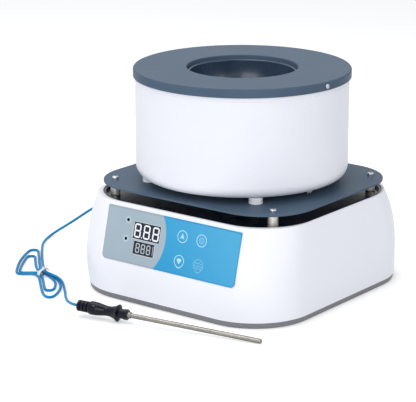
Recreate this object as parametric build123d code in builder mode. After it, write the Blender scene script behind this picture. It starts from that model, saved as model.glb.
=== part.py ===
from build123d import *
from math import atan, cos, radians, sin, tan
import os

# Heating mantle with magnetic stirring for a 500 ml flask, with its corded temperature probe.
# Millimetres. The origin is where the flask axis meets the bench, +Z is up, the control
# panel faces -Y and the probe plugs into the -X side.

# ---------------------------------------------------------------- housing
housing_bottom = 6.0
housing_top = 97.0
housing_wall = 3.0
housing_half_width = 129.0
housing_front = -130.0
housing_back = 135.0
front_corner_low = 63.0
front_corner_high = 50.0
back_corner_low = 63.0
back_corner_high = 56.5
corner_curve = 3.0
lean_angle = 14.0
lean_start = 12.0
lean_full = 48.0
shoulder_start = 45.0
shoulder_inset = 6.0
shoulder_curve = 2.6
back_lean_start = 20.0
back_inset = 18.0
facet_depth = 0.45
top_edge_round = 0.8
section_heights = [13.0, 22.0, 36.0, 48.0, 60.0, 72.0, 82.0, 90.0]
pan_recess = 6.0
ledge_thickness = 3.0
ledge_width = 7.0

# bottom tray
tray_inset = 0.8
tray_rim_width = 4.0
tray_floor = 2.5
tray_hollow = 1.5
tray_lip_height = 6.0
tray_lip_wall = 2.0
tray_screw_head_radius = 3.6
tray_screw_head_height = 2.4
tray_screw_length = 18.0
fit_gap = 0.3
thread_gap = 0.05
vent_slot_length = 34.0
vent_slot_width = 3.0
vent_slot_pitch = 8.0
vent_slot_count = 7
foot_pad_radius = 9.0
foot_pad_pocket = 1.0
foot_pad_x = 84.0
foot_pad_front = -84.0
foot_pad_back = 92.0

# top pan
pan_half_width = 121.7
pan_front = -110.0
pan_back = 113.5
pan_corner = 55.8
pan_sheet = 2.0
pan_edge_height = 3.2
pan_edge_width = 2.4
shaft_hole_radius = 14.0
lead_hole_radius = 6.0
lead_hole_x = 40.0

# ---------------------------------------------------------------- control panel
panel_middle_height = 66.5
panel_centre_x = 3.0
panel_width = 166.0
panel_height = 54.4
panel_corner_low = 5.0
panel_corner_high = 1.0
film_thickness = 0.5
display_gap = 0.25
display_setback = 0.1
upper_display = (-28.0, 7.0, 33.0, 16.4)
lower_display = (-29.2, -10.0, 25.7, 12.4)
led_radius = 1.5
led_rise = 0.5
led_foot_radius = 1.9
led_foot_height = 1.2
led_x = -53.0
led_rows = (15.7, -3.2)
key_centre_x = 28.2
key_centre_y = -1.3
key_pitch_x = 23.6
key_pitch_y = 24.4
key_hole_radius = 4.0
switch_size = 6.0
switch_height = 3.4
switch_stem_radius = 1.75
board_width = 150.0
board_height = 44.0
board_thickness = 1.6
board_depth = 8.0
board_post_radius = 3.0
board_screw_radius = 1.4
board_screw_head_radius = 2.6
board_screw_head_height = 1.6
board_screw_length = 6.0
board_screw_inset = 5.0
head_round_share = 0.45

# ---------------------------------------------------------------- heat shield
shield_top = 108.7
shield_sheet = 1.5
shield_half_width = 122.4
shield_front = -109.0
shield_back = 115.0
shield_corner = 56.0
standoff_x = 99.0
standoff_front = -82.5
standoff_back = 88.0
standoff_radius = 5.0
standoff_neck_radius = 2.6
standoff_neck_height = 2.2
standoff_thread_radius = 1.8
standoff_stud_length = 16.0
standoff_round = 0.6
boss_radius = 6.5
screw_clearance = 0.2
shield_screw_head_radius = 3.4
shield_screw_head_height = 3.2
shield_screw_radius = 1.5
shield_screw_length = 9.0
shield_edge_round = 0.4
shield_slot_width = 0.9

# ---------------------------------------------------------------- pot
pot_radius = 107.8
pot_bottom = 115.0
pot_edge_round = 11.0
pot_sheet = 1.5
pot_flange_width = 9.0
pot_hole_radius = 34.0
pot_bead_height = 213.0
pot_bead_depth = 0.5
pot_bead_width = 1.0
cover_overhang = 2.2
cover_radius = pot_radius + cover_overhang
cover_top = 225.0
cover_sheet = 2.2
cover_skirt_height = 8.5
cover_edge_round = 1.6
mouth_radius = 56.0
mouth_collar_wall = 1.5
mouth_collar_height = 6.8
mouth_edge_round = 1.0
cover_screw_angle = -5.0
cover_screw_head_radius = 2.4
cover_screw_head_height = 1.4
cover_screw_shank_radius = 1.5
cover_screw_length = 4.4
cover_screw_height = 220.6
pot_foot_inset = 13.3
pot_foot_ring_radius = pot_radius - pot_foot_inset
pot_foot_radius = 7.0
pot_foot_groove = 0.8
pot_foot_groove_depth = 1.0
pot_bolt_radius = 2.5
pot_bolt_head_radius = 4.6
pot_bolt_head_height = 3.4
pot_bolt_tip = 1.0
pot_nut_radius = 3.5
pot_nut_height = 4.0
pot_nut_chamfer = 0.3

# bowl, heater and insulation
bowl_radius = 52.5
bowl_sheet = 1.4
bowl_rim_top = 221.0
bowl_rim_width = 3.0
bowl_flange_radius = 66.0
bowl_centre = 217.0
bowl_flange_top = 217.4
bowl_rim_round = 1.2
contact_gap = 0.05
winding_back = 1.2
winding_rib = 1.9
winding_rows = 8
winding_low_angle = 28.0
winding_high_angle = 84.0
jacket_inset = 1.8
jacket_foot_inset = 18.3
jacket_radius = pot_radius - jacket_inset
jacket_foot_radius = pot_radius - jacket_foot_inset
jacket_step = 125.0
jacket_hole_radius = 32.0
terminal_angle = -9.0
terminal_radius = 1.1
terminal_pitch = 3.0
terminal_inset = 12.8
terminal_ring_radius = pot_radius - terminal_inset
terminal_drop = 3.2
terminal_length = 12.0
bead_radius = 3.2
bead_reach = 1.2

# ---------------------------------------------------------------- stir drive
shaft_radius = 4.0
shaft_bottom = 50.0
shaft_top = 150.0
bearing_clearance = 0.05
motor_radius = 28.0
motor_bottom = 36.0
motor_top = 78.0
motor_boss_radius = 9.0
motor_boss_height = 5.0
motor_round = 2.0
bracket_sheet = 2.0
bracket_length = 96.0
bracket_width = 60.0
bracket_flange = 16.0
carrier_length = 56.0
carrier_width = 18.0
carrier_bottom = 140.0
carrier_height = 10.0
carrier_hub_radius = 9.0
carrier_hub_height = 6.0
magnet_radius = 7.0
magnet_height = 8.0
magnet_pocket = 4.0
magnet_offset = 18.5
magnet_round = 0.8

# ---------------------------------------------------------------- power electronics
power_board_size = (110.0, 70.0)
power_board_place = (-20.0, 78.0)
power_board_height = 16.0
power_board_thickness = 1.6
post_radius = 3.5
transformer_size = (46.0, 40.0, 34.0)
transformer_place = (-48.0, 76.0)
transformer_round = 2.0
heat_sink_size = (52.0, 26.0, 30.0)
heat_sink_place = (4.0, 86.0)
heat_sink_fins = 7
heat_sink_base = 4.0
fin_thickness = 2.0

# ---------------------------------------------------------------- rear connectors
rear_face = 130.5
rear_wall = 4.0
rear_pad_half_width = 62.0
rear_pad_low = 12.0
rear_pad_high = 60.0
rear_pocket_round = 3.0
inlet_x = 26.0
inlet_height = 37.0
inlet_flange = (50.0, 32.0, 2.5)
inlet_body = (28.0, 28.0, 26.0)
inlet_edge_round = 0.8
socket_mouth = (24.0, 16.4, 16.0)
socket_chamfer = 4.6
socket_drop = -4.6
blade = (2.0, 4.0, 14.0)
blade_pitch = 7.0
blade_rise = 2.0
blade_root = 3.0
drawer_width = 24.0
drawer_height = 6.0
drawer_depth = 24.0
drawer_rise = 9.2
drawer_lip = 1.4
drawer_wall = 1.0
drawer_travel = 22.0
slide_gap = 0.25
fuse_radius = 2.5
fuse_length = 20.0
inlet_screw_pitch = 40.0
rocker_x = -30.0
rocker_height = 37.0
rocker_frame = (22.0, 28.0, 2.0)
rocker_body = (19.0, 24.0, 16.0)
rocker_reach = 9.0
rocker_width = 14.0
rocker_gap = 0.4
rocker_tilt = 9.0
rocker_rise = 3.4
rocker_dish = 1.0
rocker_well = 7.0
rocker_frame_round = 2.0
rocker_depth = 5.0
rocker_pin_radius = 1.2
rocker_pin_length = 1.6

# ---------------------------------------------------------------- probe socket, plug and probe
socket_y = 52.0
socket_height = 45.0
jack_flange_radius = 9.5
jack_flange = 2.0
jack_thread_radius = 7.0
jack_thread_out = 7.0
jack_thread_in = 12.0
jack_bore_radius = 5.2
jack_nut_radius = 9.5
jack_nut_height = 3.0
plug_radius = 6.6
plug_ring_radius = 9.0
plug_ring_length = 13.0
plug_body_length = 24.0
plug_boot_length = 10.0
plug_boot_radius = 2.6
plug_nose_length = 6.0
plug_bore_gap = 0.2
plug_grooves = 20
plug_groove_radius = 0.6
cord_radius = 1.4
probe_rear = (-57.5, -189.2)
probe_heading = 13.0
probe_length = 195.0
handle_length = 54.0
handle_core = 4.4
handle_rib_radius = 5.6
handle_rib_width = 2.6
handle_rib_places = (1.6, 5.4, 9.2)
handle_grip_start = 12.0
handle_grip_radius = 6.8
handle_waist = (28.0, 5.45)
handle_collar = 44.0
handle_collar_radius = 8.65
handle_neck = (45.8, 4.85)
handle_end_ring = (51.0, 5.35)
rod_radius = 2.35
ferrule_radius = 3.2
ferrule_length = 3.5
rod_socket_depth = 12.0
rod_tip_round = 1.8
ferrule_round = 0.6

# ---------------------------------------------------------------- probe cord and its hank
bend_share = 0.45
plug_cord_route = [
    (-196.0, 52.0, 44.2),
    (-220.0, 45.0, 36.0),
    (-240.0, 37.0, 25.0),
    (-254.0, 20.0, 12.0),
    (-264.0, -6.0, 1.4),
    (-251.0, -36.0, 1.4),
    (-224.0, -61.0, 1.4),
    (-198.0, -88.0, 1.4),
    (-181.0, -104.0, 1.4),
]
tail_route = [
    (-139.0, -126.5, 1.4),
    (-121.0, -140.0, 1.4),
    (-104.0, -157.0, 1.4),
    (-89.0, -176.0, 4.0),
]
tail_lead_length = 13.0
hank_upper_loop = [
    (-178.0, -109.0),
    (-199.0, -95.0),
    (-223.0, -74.0),
    (-233.0, -60.0),
    (-230.0, -78.0),
    (-218.0, -99.0),
    (-206.0, -117.0),
    (-190.0, -133.0),
]
hank_upper_hole = [
    (-188.0, -114.0),
    (-201.5, -98.5),
    (-220.5, -83.0),
    (-214.0, -97.0),
    (-202.5, -114.5),
    (-192.0, -125.0),
]
hank_lower_loop = [
    (-158.0, -117.0),
    (-138.0, -129.0),
    (-124.0, -141.0),
    (-115.0, -158.0),
    (-110.0, -174.0),
    (-123.0, -167.0),
    (-138.0, -155.0),
    (-152.0, -141.0),
    (-165.0, -128.0),
]
hank_lower_hole = [
    (-154.5, -125.5),
    (-140.5, -132.5),
    (-127.5, -143.5),
    (-119.5, -160.5),
    (-135.0, -152.0),
    (-149.0, -138.0),
]
hank_height = 5.8
hank_band = 8.4
hank_hole_round = 1.5
hank_neck = (-171.0, -118.0)
hank_neck_length = 26.0
hank_neck_width = 17.0
hank_turn = 19.5
tie_width = 3.4
tie_sheet = 0.9

os.makedirs("parts", exist_ok=True)


def save(piece, label):
    """Labels a finished piece and writes it to its own STEP file."""
    piece.part.label = label
    export_step(piece.part, f"parts/{label}.step")


# ================================================================ housing shape
def housing_width(height):
    """Half the housing's width: upright below, pulled in at the shoulder."""
    rise = max(0.0, (height - shoulder_start) / (housing_top - shoulder_start))
    return housing_half_width - shoulder_inset * rise**shoulder_curve


def housing_front_at(height):
    """Where the front wall stands: upright, then easing into the panel's lean."""
    slope = tan(radians(lean_angle))
    ease = lean_full - lean_start
    if height <= lean_start:
        return housing_front
    if height <= lean_full:
        return housing_front + 0.5 * slope * (height - lean_start) ** 2 / ease
    return housing_front + 0.5 * slope * ease + slope * (height - lean_full)


def housing_back_at(height):
    """Where the rear wall stands."""
    rise = max(0.0, (height - back_lean_start) / (housing_top - back_lean_start))
    return housing_back - back_inset * rise**2


def block(x_low, y_low, x_high, y_high, mode=Mode.ADD):
    """A rectangle between two opposite corners, in the sketch being drawn."""
    with Locations(((x_low + x_high) / 2, (y_low + y_high) / 2)):
        Rectangle(x_high - x_low, y_high - y_low, mode=mode)


def corner(sketch, x, y):
    """The sketch's corner nearest to a point."""
    return sketch.vertices().sort_by_distance((x, y, 0))[0]


def rounded_outline(height, half_width, front, back, front_corner, back_corner):
    """A rectangle with one radius on its front corners and one on its back corners."""
    with BuildSketch(Plane.XY.offset(height)) as outline:
        with Locations((0, (front + back) / 2)):
            Rectangle(2 * half_width, back - front)
        fillet(outline.vertices().group_by(Axis.Y)[0], radius=front_corner)
        fillet(outline.vertices().group_by(Axis.Y)[-1], radius=back_corner)
    return outline.sketch


def housing_section(height, inset=0.0):
    """The housing's outline at a height, drawn in by inset."""
    rise = (height - housing_bottom) / (housing_top - housing_bottom)
    early_rise = 1 - (1 - rise) ** corner_curve
    front_corner = front_corner_low + (front_corner_high - front_corner_low) * early_rise
    back_corner = back_corner_low + (back_corner_high - back_corner_low) * rise
    return rounded_outline(
        height,
        housing_width(height) - inset,
        housing_front_at(height) + inset,
        housing_back_at(height) - inset,
        front_corner - inset,
        back_corner - inset,
    )


def pan_outline(height, inset=0.0):
    """The top pan's outline, drawn in by inset."""
    corner = pan_corner - inset
    return rounded_outline(
        height, pan_half_width - inset, pan_front + inset, pan_back - inset, corner, corner
    )


panel_front = housing_front_at(panel_middle_height) + facet_depth
panel_plane = Plane(
    origin=(0, panel_front, panel_middle_height),
    x_dir=(1, 0, 0),
    z_dir=(0, -cos(radians(lean_angle)), sin(radians(lean_angle))),
)
ledge_bottom = housing_top - pan_recess - ledge_thickness
ledge_top = ledge_bottom + ledge_thickness
pan_floor = ledge_top + pan_sheet
standoff_places = [
    (side * standoff_x, y) for side in (-1, 1) for y in (standoff_front, standoff_back)
]
key_places = [
    (key_centre_x + side * key_pitch_x / 2, key_centre_y + end * key_pitch_y / 2)
    for side in (-1, 1)
    for end in (-1, 1)
]
cavity_heights = [h for h in section_heights if h < ledge_bottom]
board_screw_places = [
    (
        panel_centre_x + side * (board_width / 2 - board_screw_inset),
        end * (board_height / 2 - board_screw_inset),
    )
    for side in (-1, 1)
    for end in (-1, 1)
]
rear_panel_plane = Plane(origin=(0, rear_face, 0), x_dir=(-1, 0, 0), z_dir=(0, 1, 0))
side_plane = Plane(
    origin=(-housing_half_width, socket_y, socket_height), x_dir=(0, -1, 0), z_dir=(-1, 0, 0)
)

with BuildPart() as base_shell:
    loft([housing_section(h) for h in [housing_bottom, *section_heights, housing_top]])
    # the flat facet that carries the control panel
    with BuildSketch(panel_plane):
        Rectangle(3 * housing_half_width, 3 * panel_height)
    extrude(amount=housing_top, mode=Mode.SUBTRACT)
    fillet(base_shell.edges().group_by(Axis.Z)[-1], radius=top_edge_round)
    # hollow below the ledge, the ledge's opening, and the seat of the top pan
    cavity = [housing_bottom, *cavity_heights, ledge_bottom]
    loft([housing_section(h, housing_wall) for h in cavity], mode=Mode.SUBTRACT)
    extrude(pan_outline(ledge_bottom, ledge_width), amount=ledge_thickness, mode=Mode.SUBTRACT)
    extrude(pan_outline(ledge_top, -fit_gap), amount=housing_top, mode=Mode.SUBTRACT)
    # bosses under the ledge's corners for the standoffs and the tray
    boss_bottom = housing_bottom + tray_lip_height + fit_gap
    with BuildSketch(Plane.XY.offset(boss_bottom)):
        with Locations(*standoff_places):
            Circle(boss_radius)
    extrude(amount=ledge_top - boss_bottom)
    with BuildSketch(Plane.XY):
        with Locations(*standoff_places):
            Circle(standoff_thread_radius + thread_gap)
    extrude(amount=housing_top, mode=Mode.SUBTRACT)
    # openings in the panel wall for the displays, lamps and key switches
    with BuildSketch(panel_plane):
        for x, y, width, height in (upper_display, lower_display):
            with Locations((x, y)):
                Rectangle(width + 2 * fit_gap, height + 2 * fit_gap)
        with Locations(*[(led_x, y) for y in led_rows]):
            Circle(led_radius + fit_gap)
        with Locations(*key_places):
            Circle(key_hole_radius)
    extrude(amount=-2 * housing_wall, mode=Mode.SUBTRACT)
    # posts behind the panel wall that carry the control board
    with BuildSketch(panel_plane.offset(-board_depth)):
        with Locations(*board_screw_places):
            Circle(board_post_radius)
    extrude(amount=board_depth - housing_wall / 2)
    with BuildSketch(panel_plane.offset(-board_depth)):
        with Locations(*board_screw_places):
            Circle(board_screw_radius + thread_gap)
    extrude(amount=board_depth - housing_wall, mode=Mode.SUBTRACT)
    # flat connector field at the back: a pad inside and a shallow pocket outside
    pad_height = rear_pad_high - rear_pad_low
    pad_middle = (rear_pad_high + rear_pad_low) / 2
    with BuildSketch(rear_panel_plane):
        with Locations((0, pad_middle)):
            Rectangle(2 * rear_pad_half_width, pad_height)
    extrude(amount=-rear_wall)
    with BuildSketch(rear_panel_plane):
        with Locations((0, pad_middle)):
            RectangleRounded(
                2 * (rear_pad_half_width - housing_wall),
                pad_height - 2 * housing_wall,
                rear_pocket_round,
            )
    extrude(amount=housing_back, mode=Mode.SUBTRACT)
    with BuildSketch(rear_panel_plane):
        with Locations((-inlet_x, inlet_height)):
            Rectangle(inlet_body[0] + 2 * fit_gap, inlet_body[1] + 2 * fit_gap)
        with Locations((-rocker_x, rocker_height)):
            Rectangle(rocker_body[0] + 2 * fit_gap, rocker_body[1] + 2 * fit_gap)
        with Locations((-inlet_x, inlet_height)):
            with GridLocations(inlet_screw_pitch, 1, 2, 1):
                Circle(board_screw_radius + thread_gap)
    extrude(amount=-2 * rear_wall, mode=Mode.SUBTRACT)
    # hole for the probe socket
    with BuildSketch(side_plane):
        Circle(jack_thread_radius + fit_gap)
    extrude(amount=-2 * housing_wall, mode=Mode.SUBTRACT)
save(base_shell, "base_shell")


def tray_outline(height, inset):
    """The housing's bottom outline, moved to a height and drawn in by inset."""
    return housing_section(housing_bottom, inset).moved(Location((0, 0, height - housing_bottom)))


tray_floor_top = tray_hollow + tray_floor
tray_lip_top = housing_bottom + tray_lip_height
tray_lip_inset = housing_wall + fit_gap
foot_pad_places = [
    (side * foot_pad_x, y) for side in (-1, 1) for y in (foot_pad_front, foot_pad_back)
]
power_board_corners = [
    (
        power_board_place[0] + side * (power_board_size[0] / 2 - board_screw_inset),
        power_board_place[1] + end * (power_board_size[1] / 2 - board_screw_inset),
    )
    for side in (-1, 1)
    for end in (-1, 1)
]

with BuildPart() as base_tray:
    extrude(tray_outline(0, tray_inset), amount=housing_bottom)
    fillet(base_tray.edges().group_by(Axis.Z)[0], radius=tray_rim_width / 2)
    extrude(tray_outline(housing_bottom, tray_lip_inset), amount=tray_lip_height)
    extrude(
        tray_outline(tray_floor_top, tray_lip_inset + tray_lip_wall),
        amount=tray_lip_top,
        mode=Mode.SUBTRACT,
    )
    extrude(tray_outline(0, tray_inset + 1.5 * tray_rim_width), amount=tray_hollow, mode=Mode.SUBTRACT)
    # screw posts below the housing's bosses, with their screw heads sunk from below
    with BuildSketch(Plane.XY.offset(tray_hollow)):
        with Locations(*standoff_places):
            Circle(boss_radius)
    extrude(amount=tray_lip_top - tray_hollow)
    with BuildSketch(Plane.XY.offset(tray_hollow)):
        with Locations(*standoff_places):
            Circle(standoff_thread_radius + screw_clearance)
    extrude(amount=tray_lip_top, mode=Mode.SUBTRACT)
    with BuildSketch(Plane.XY):
        with Locations(*standoff_places):
            Circle(tray_screw_head_radius + screw_clearance)
    extrude(amount=tray_hollow + tray_screw_head_height, mode=Mode.SUBTRACT)
    # shallow seats of the rubber pads
    with BuildSketch(Plane.XY):
        with Locations(*foot_pad_places):
            Circle(foot_pad_radius + screw_clearance)
    extrude(amount=tray_hollow + foot_pad_pocket, mode=Mode.SUBTRACT)
    # air slots under the motor
    with BuildSketch(Plane.XY):
        with GridLocations(vent_slot_pitch, 2 * vent_slot_length, vent_slot_count, 2):
            SlotOverall(vent_slot_length, vent_slot_width, rotation=90)
    extrude(amount=tray_floor_top, mode=Mode.SUBTRACT)
    # posts of the power board
    with BuildSketch(Plane.XY.offset(tray_hollow)):
        with Locations(*power_board_corners):
            Circle(post_radius)
    extrude(amount=power_board_height - tray_hollow)
    with BuildSketch(Plane.XY.offset(power_board_height)):
        with Locations(*power_board_corners):
            Circle(board_screw_radius + thread_gap)
    extrude(amount=-board_screw_length, mode=Mode.SUBTRACT)
save(base_tray, "base_tray")

with BuildPart() as rubber_feet:
    with BuildSketch(Plane.XY):
        with Locations(*foot_pad_places):
            Circle(foot_pad_radius)
    extrude(amount=tray_hollow + foot_pad_pocket)
save(rubber_feet, "rubber_feet")


def round_head_screw(head_radius, head_height, shank_radius, length):
    """A screw standing head up, its head's underside at z = 0."""
    with BuildPart() as screw:
        with BuildSketch(Plane.XZ) as profile:
            block(0, 0, head_radius, head_height)
            fillet(corner(profile, head_radius, head_height), radius=head_round_share * head_height)
            block(0, -length, shank_radius, 0)
        revolve(axis=Axis.Z)
    return screw.part


def board_screw():
    """The small screw used on the boards and the mains inlet."""
    return round_head_screw(
        board_screw_head_radius, board_screw_head_height, board_screw_radius, board_screw_length
    )


with BuildPart() as tray_screws:
    with Locations(*[(x, y, tray_hollow + tray_screw_head_height) for x, y in standoff_places]):
        add(
            round_head_screw(
                tray_screw_head_radius,
                tray_screw_head_height,
                standoff_thread_radius,
                tray_screw_length,
            ),
            rotation=(180, 0, 0),
        )
save(tray_screws, "tray_screws")

# ================================================================ top pan and heat shield
with BuildPart() as top_pan:
    extrude(pan_outline(ledge_top), amount=pan_sheet + pan_edge_height)
    extrude(pan_outline(pan_floor, pan_edge_width), amount=housing_top, mode=Mode.SUBTRACT)
    with BuildSketch(Plane.XY.offset(ledge_top)):
        Circle(shaft_hole_radius)
        with Locations((lead_hole_x, 0)):
            Circle(lead_hole_radius)
        with Locations(*standoff_places):
            Circle(standoff_thread_radius + screw_clearance)
    extrude(amount=pan_sheet, mode=Mode.SUBTRACT)
save(top_pan, "top_pan")

shield_bottom = shield_top - shield_sheet
standoff_body_top = shield_bottom - standoff_neck_height

with BuildPart() as one_standoff:
    with BuildSketch(Plane.XZ) as profile:
        block(0, pan_floor, standoff_radius, standoff_body_top)
        fillet(corner(profile, standoff_radius, standoff_body_top), radius=standoff_round)
        fillet(corner(profile, standoff_radius, pan_floor), radius=standoff_round)
        block(0, pan_floor - standoff_stud_length, standoff_thread_radius, pan_floor)
        block(0, standoff_body_top, standoff_neck_radius, shield_bottom)
        hole_bottom = shield_top - shield_screw_length - thread_gap
        block(0, hole_bottom, shield_screw_radius + thread_gap, shield_top, Mode.SUBTRACT)
    revolve(axis=Axis.Z)

with BuildPart() as standoffs:
    with Locations(*standoff_places):
        add(one_standoff.part)
save(standoffs, "standoffs")

pot_floor = pot_bottom + pot_sheet
pot_foot_places = PolarLocations(pot_foot_ring_radius, 4, 45)
terminal_spot = (
    terminal_ring_radius * cos(radians(terminal_angle)),
    terminal_ring_radius * sin(radians(terminal_angle)),
)

with BuildPart() as heat_shield:
    extrude(
        rounded_outline(
            shield_bottom, shield_half_width, shield_front, shield_back, shield_corner, shield_corner
        ),
        amount=shield_sheet,
    )
    fillet(heat_shield.edges().group_by(Axis.Z)[-1], radius=shield_edge_round)
    with BuildSketch(Plane.XY.offset(shield_bottom)):
        Circle(shaft_hole_radius)
        with Locations((lead_hole_x, 0)):
            Circle(lead_hole_radius)
        with Locations(*standoff_places):
            Circle(shield_screw_radius + screw_clearance)
        with pot_foot_places:
            Circle(pot_bolt_radius + screw_clearance)
    extrude(amount=shield_sheet, mode=Mode.SUBTRACT)
save(heat_shield, "heat_shield")

with BuildPart() as shield_screws:
    with Locations(*[(x, y, shield_top) for x, y in standoff_places]):
        add(
            round_head_screw(
                shield_screw_head_radius,
                shield_screw_head_height,
                shield_screw_radius,
                shield_screw_length,
            )
        )
    # cross slots
    with BuildSketch(Plane.XY.offset(shield_top + shield_screw_head_height)):
        with Locations(*standoff_places):
            Rectangle(shield_screw_head_radius, shield_slot_width)
            Rectangle(shield_slot_width, shield_screw_head_radius)
    extrude(amount=-shield_screw_head_height / 2, mode=Mode.SUBTRACT)
save(shield_screws, "shield_screws")

# ================================================================ pot and its mounting
with BuildPart() as one_foot:
    with BuildSketch(Plane.XZ):
        block(pot_bolt_radius + screw_clearance, shield_top, pot_foot_radius, pot_bottom)
        groove_middle = (shield_top + pot_bottom) / 2
        block(
            pot_foot_radius - pot_foot_groove_depth,
            groove_middle - pot_foot_groove / 2,
            pot_foot_radius,
            groove_middle + pot_foot_groove / 2,
            Mode.SUBTRACT,
        )
    revolve(axis=Axis.Z)

with BuildPart() as pot_feet:
    with pot_foot_places:
        add(one_foot.part)
save(pot_feet, "pot_feet")

pot_bolt_length = pot_floor + pot_nut_height + pot_bolt_tip - shield_bottom
with BuildPart() as pot_bolts:
    with PolarLocations(pot_foot_ring_radius, 4, 45):
        with Locations((0, 0, shield_bottom)):
            add(
                round_head_screw(
                    pot_bolt_head_radius, pot_bolt_head_height, pot_bolt_radius, pot_bolt_length
                ),
                rotation=(180, 0, 0),
            )
save(pot_bolts, "pot_bolts")

with BuildPart() as one_nut:
    with BuildSketch(Plane.XY.offset(pot_floor)):
        RegularPolygon(pot_nut_radius, 6, major_radius=False, rotation=30)
    extrude(amount=pot_nut_height)
    chamfer(one_nut.edges().group_by(Axis.Z)[0], length=pot_nut_chamfer)
    chamfer(one_nut.edges().group_by(Axis.Z)[-1], length=pot_nut_chamfer)
    with BuildSketch(Plane.XY.offset(pot_floor)):
        Circle(pot_bolt_radius + thread_gap)
    extrude(amount=pot_nut_height, mode=Mode.SUBTRACT)

with BuildPart() as pot_nuts:
    with pot_foot_places:
        add(one_nut.part)
save(pot_nuts, "pot_nuts")

pot_top = cover_top - cover_sheet
cover_screw_angles = (cover_screw_angle, cover_screw_angle + 180)


def cover_screw_plane(angle, radius):
    """The plane square to the cover's skirt at a screw."""
    return Plane(
        origin=(radius * cos(radians(angle)), radius * sin(radians(angle)), cover_screw_height),
        z_dir=(cos(radians(angle)), sin(radians(angle)), 0),
    )


with BuildPart() as pot_shell:
    with BuildSketch(Plane.XZ) as profile:
        block(0, pot_bottom, pot_radius, pot_top)
        fillet(corner(profile, pot_radius, pot_bottom), radius=pot_edge_round)
        fillet(corner(profile, pot_radius, pot_top), radius=pot_sheet + contact_gap)
        pot_inside = pot_radius - pot_sheet
        with BuildSketch(mode=Mode.PRIVATE) as hollow:
            block(0, pot_floor, pot_inside, pot_top - pot_sheet)
            fillet(corner(hollow, pot_inside, pot_floor), radius=pot_edge_round - pot_sheet)
        add(hollow.sketch, mode=Mode.SUBTRACT)
        block(0, pot_top - 2 * pot_sheet, pot_radius - pot_flange_width, pot_top, Mode.SUBTRACT)
        block(0, pot_bottom, pot_hole_radius, pot_floor, Mode.SUBTRACT)
        # rolled groove below the cover's skirt
        with Locations((pot_radius + pot_bead_width - pot_bead_depth, pot_bead_height)):
            Circle(pot_bead_width, mode=Mode.SUBTRACT)
    revolve(axis=Axis.Z)
    with BuildSketch(Plane.XY.offset(pot_bottom)):
        with pot_foot_places:
            Circle(pot_bolt_radius + screw_clearance)
        with Locations(terminal_spot):
            Circle(bead_radius)
    extrude(amount=2 * pot_sheet, mode=Mode.SUBTRACT)
    for angle in cover_screw_angles:
        with BuildSketch(cover_screw_plane(angle, pot_radius)):
            Circle(cover_screw_shank_radius + thread_gap)
        extrude(amount=2 * pot_sheet, both=True, mode=Mode.SUBTRACT)
save(pot_shell, "pot_shell")

with BuildPart() as pot_cover:
    with BuildSketch(Plane.XZ) as profile:
        block(mouth_radius, cover_top - cover_sheet, cover_radius, cover_top)
        block(cover_radius - cover_sheet, cover_top - cover_skirt_height, cover_radius, cover_top)
        block(
            mouth_radius,
            cover_top - mouth_collar_height,
            mouth_radius + mouth_collar_wall,
            cover_top,
        )
        fillet(corner(profile, cover_radius, cover_top), radius=cover_edge_round)
        fillet(corner(profile, mouth_radius, cover_top), radius=mouth_edge_round)
    revolve(axis=Axis.Z)
    for angle in cover_screw_angles:
        with BuildSketch(cover_screw_plane(angle, cover_radius)):
            Circle(cover_screw_shank_radius + screw_clearance)
        extrude(amount=-2 * cover_sheet, mode=Mode.SUBTRACT)
save(pot_cover, "pot_cover")

with BuildPart() as cover_screws:
    for angle in cover_screw_angles:
        with Locations(cover_screw_plane(angle, cover_radius).location):
            add(
                round_head_screw(
                    cover_screw_head_radius,
                    cover_screw_head_height,
                    cover_screw_shank_radius,
                    cover_screw_length,
                )
            )
save(cover_screws, "cover_screws")

# ================================================================ bowl, winding, insulation
bowl_outside = bowl_radius + bowl_sheet
bowl_flange_bottom = bowl_flange_top - bowl_sheet

with BuildPart() as heating_bowl:
    with BuildSketch(Plane.XZ) as profile:
        with Locations((0, bowl_centre)):
            Circle(bowl_outside)
            Circle(bowl_radius, mode=Mode.SUBTRACT)
        block(0, 0, bowl_outside, bowl_centre, Mode.INTERSECT)
        block(bowl_radius, bowl_flange_bottom, bowl_radius + bowl_rim_width, bowl_rim_top)
        block(bowl_outside, bowl_flange_bottom, bowl_flange_radius, bowl_flange_top)
        fillet(corner(profile, bowl_radius, bowl_rim_top), radius=bowl_rim_round)
        fillet(corner(profile, bowl_radius + bowl_rim_width, bowl_rim_top), radius=bowl_rim_round)
    revolve(axis=Axis.Z)
save(heating_bowl, "heating_bowl")

winding_inside = bowl_outside + contact_gap
winding_middle = winding_inside + winding_back
winding_outside = winding_middle + winding_rib
winding_step = (winding_high_angle - winding_low_angle) / (winding_rows - 1)

with BuildPart() as heater_winding:
    with BuildSketch(Plane.XZ) as profile:
        with Locations((0, bowl_centre)):
            Circle(winding_middle)
            Circle(winding_inside, mode=Mode.SUBTRACT)
        # keep the band between the lowest and the highest turn
        with BuildLine():
            reach = 2 * winding_outside
            low = radians(winding_low_angle)
            high = radians(winding_high_angle)
            Polyline(
                (0, bowl_centre),
                (reach * sin(low), bowl_centre - reach * cos(low)),
                (reach * sin(high), bowl_centre - reach * cos(high)),
                (0, bowl_centre),
            )
        make_face(mode=Mode.INTERSECT)
        for row in range(winding_rows):
            turn = radians(winding_low_angle + row * winding_step)
            spot = (winding_middle * sin(turn), bowl_centre - winding_middle * cos(turn))
            with Locations(spot):
                Circle(winding_rib)
        with Locations((0, bowl_centre)):
            Circle(winding_inside, mode=Mode.SUBTRACT)
    revolve(axis=Axis.Z)
save(heater_winding, "heater_winding")

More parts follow.
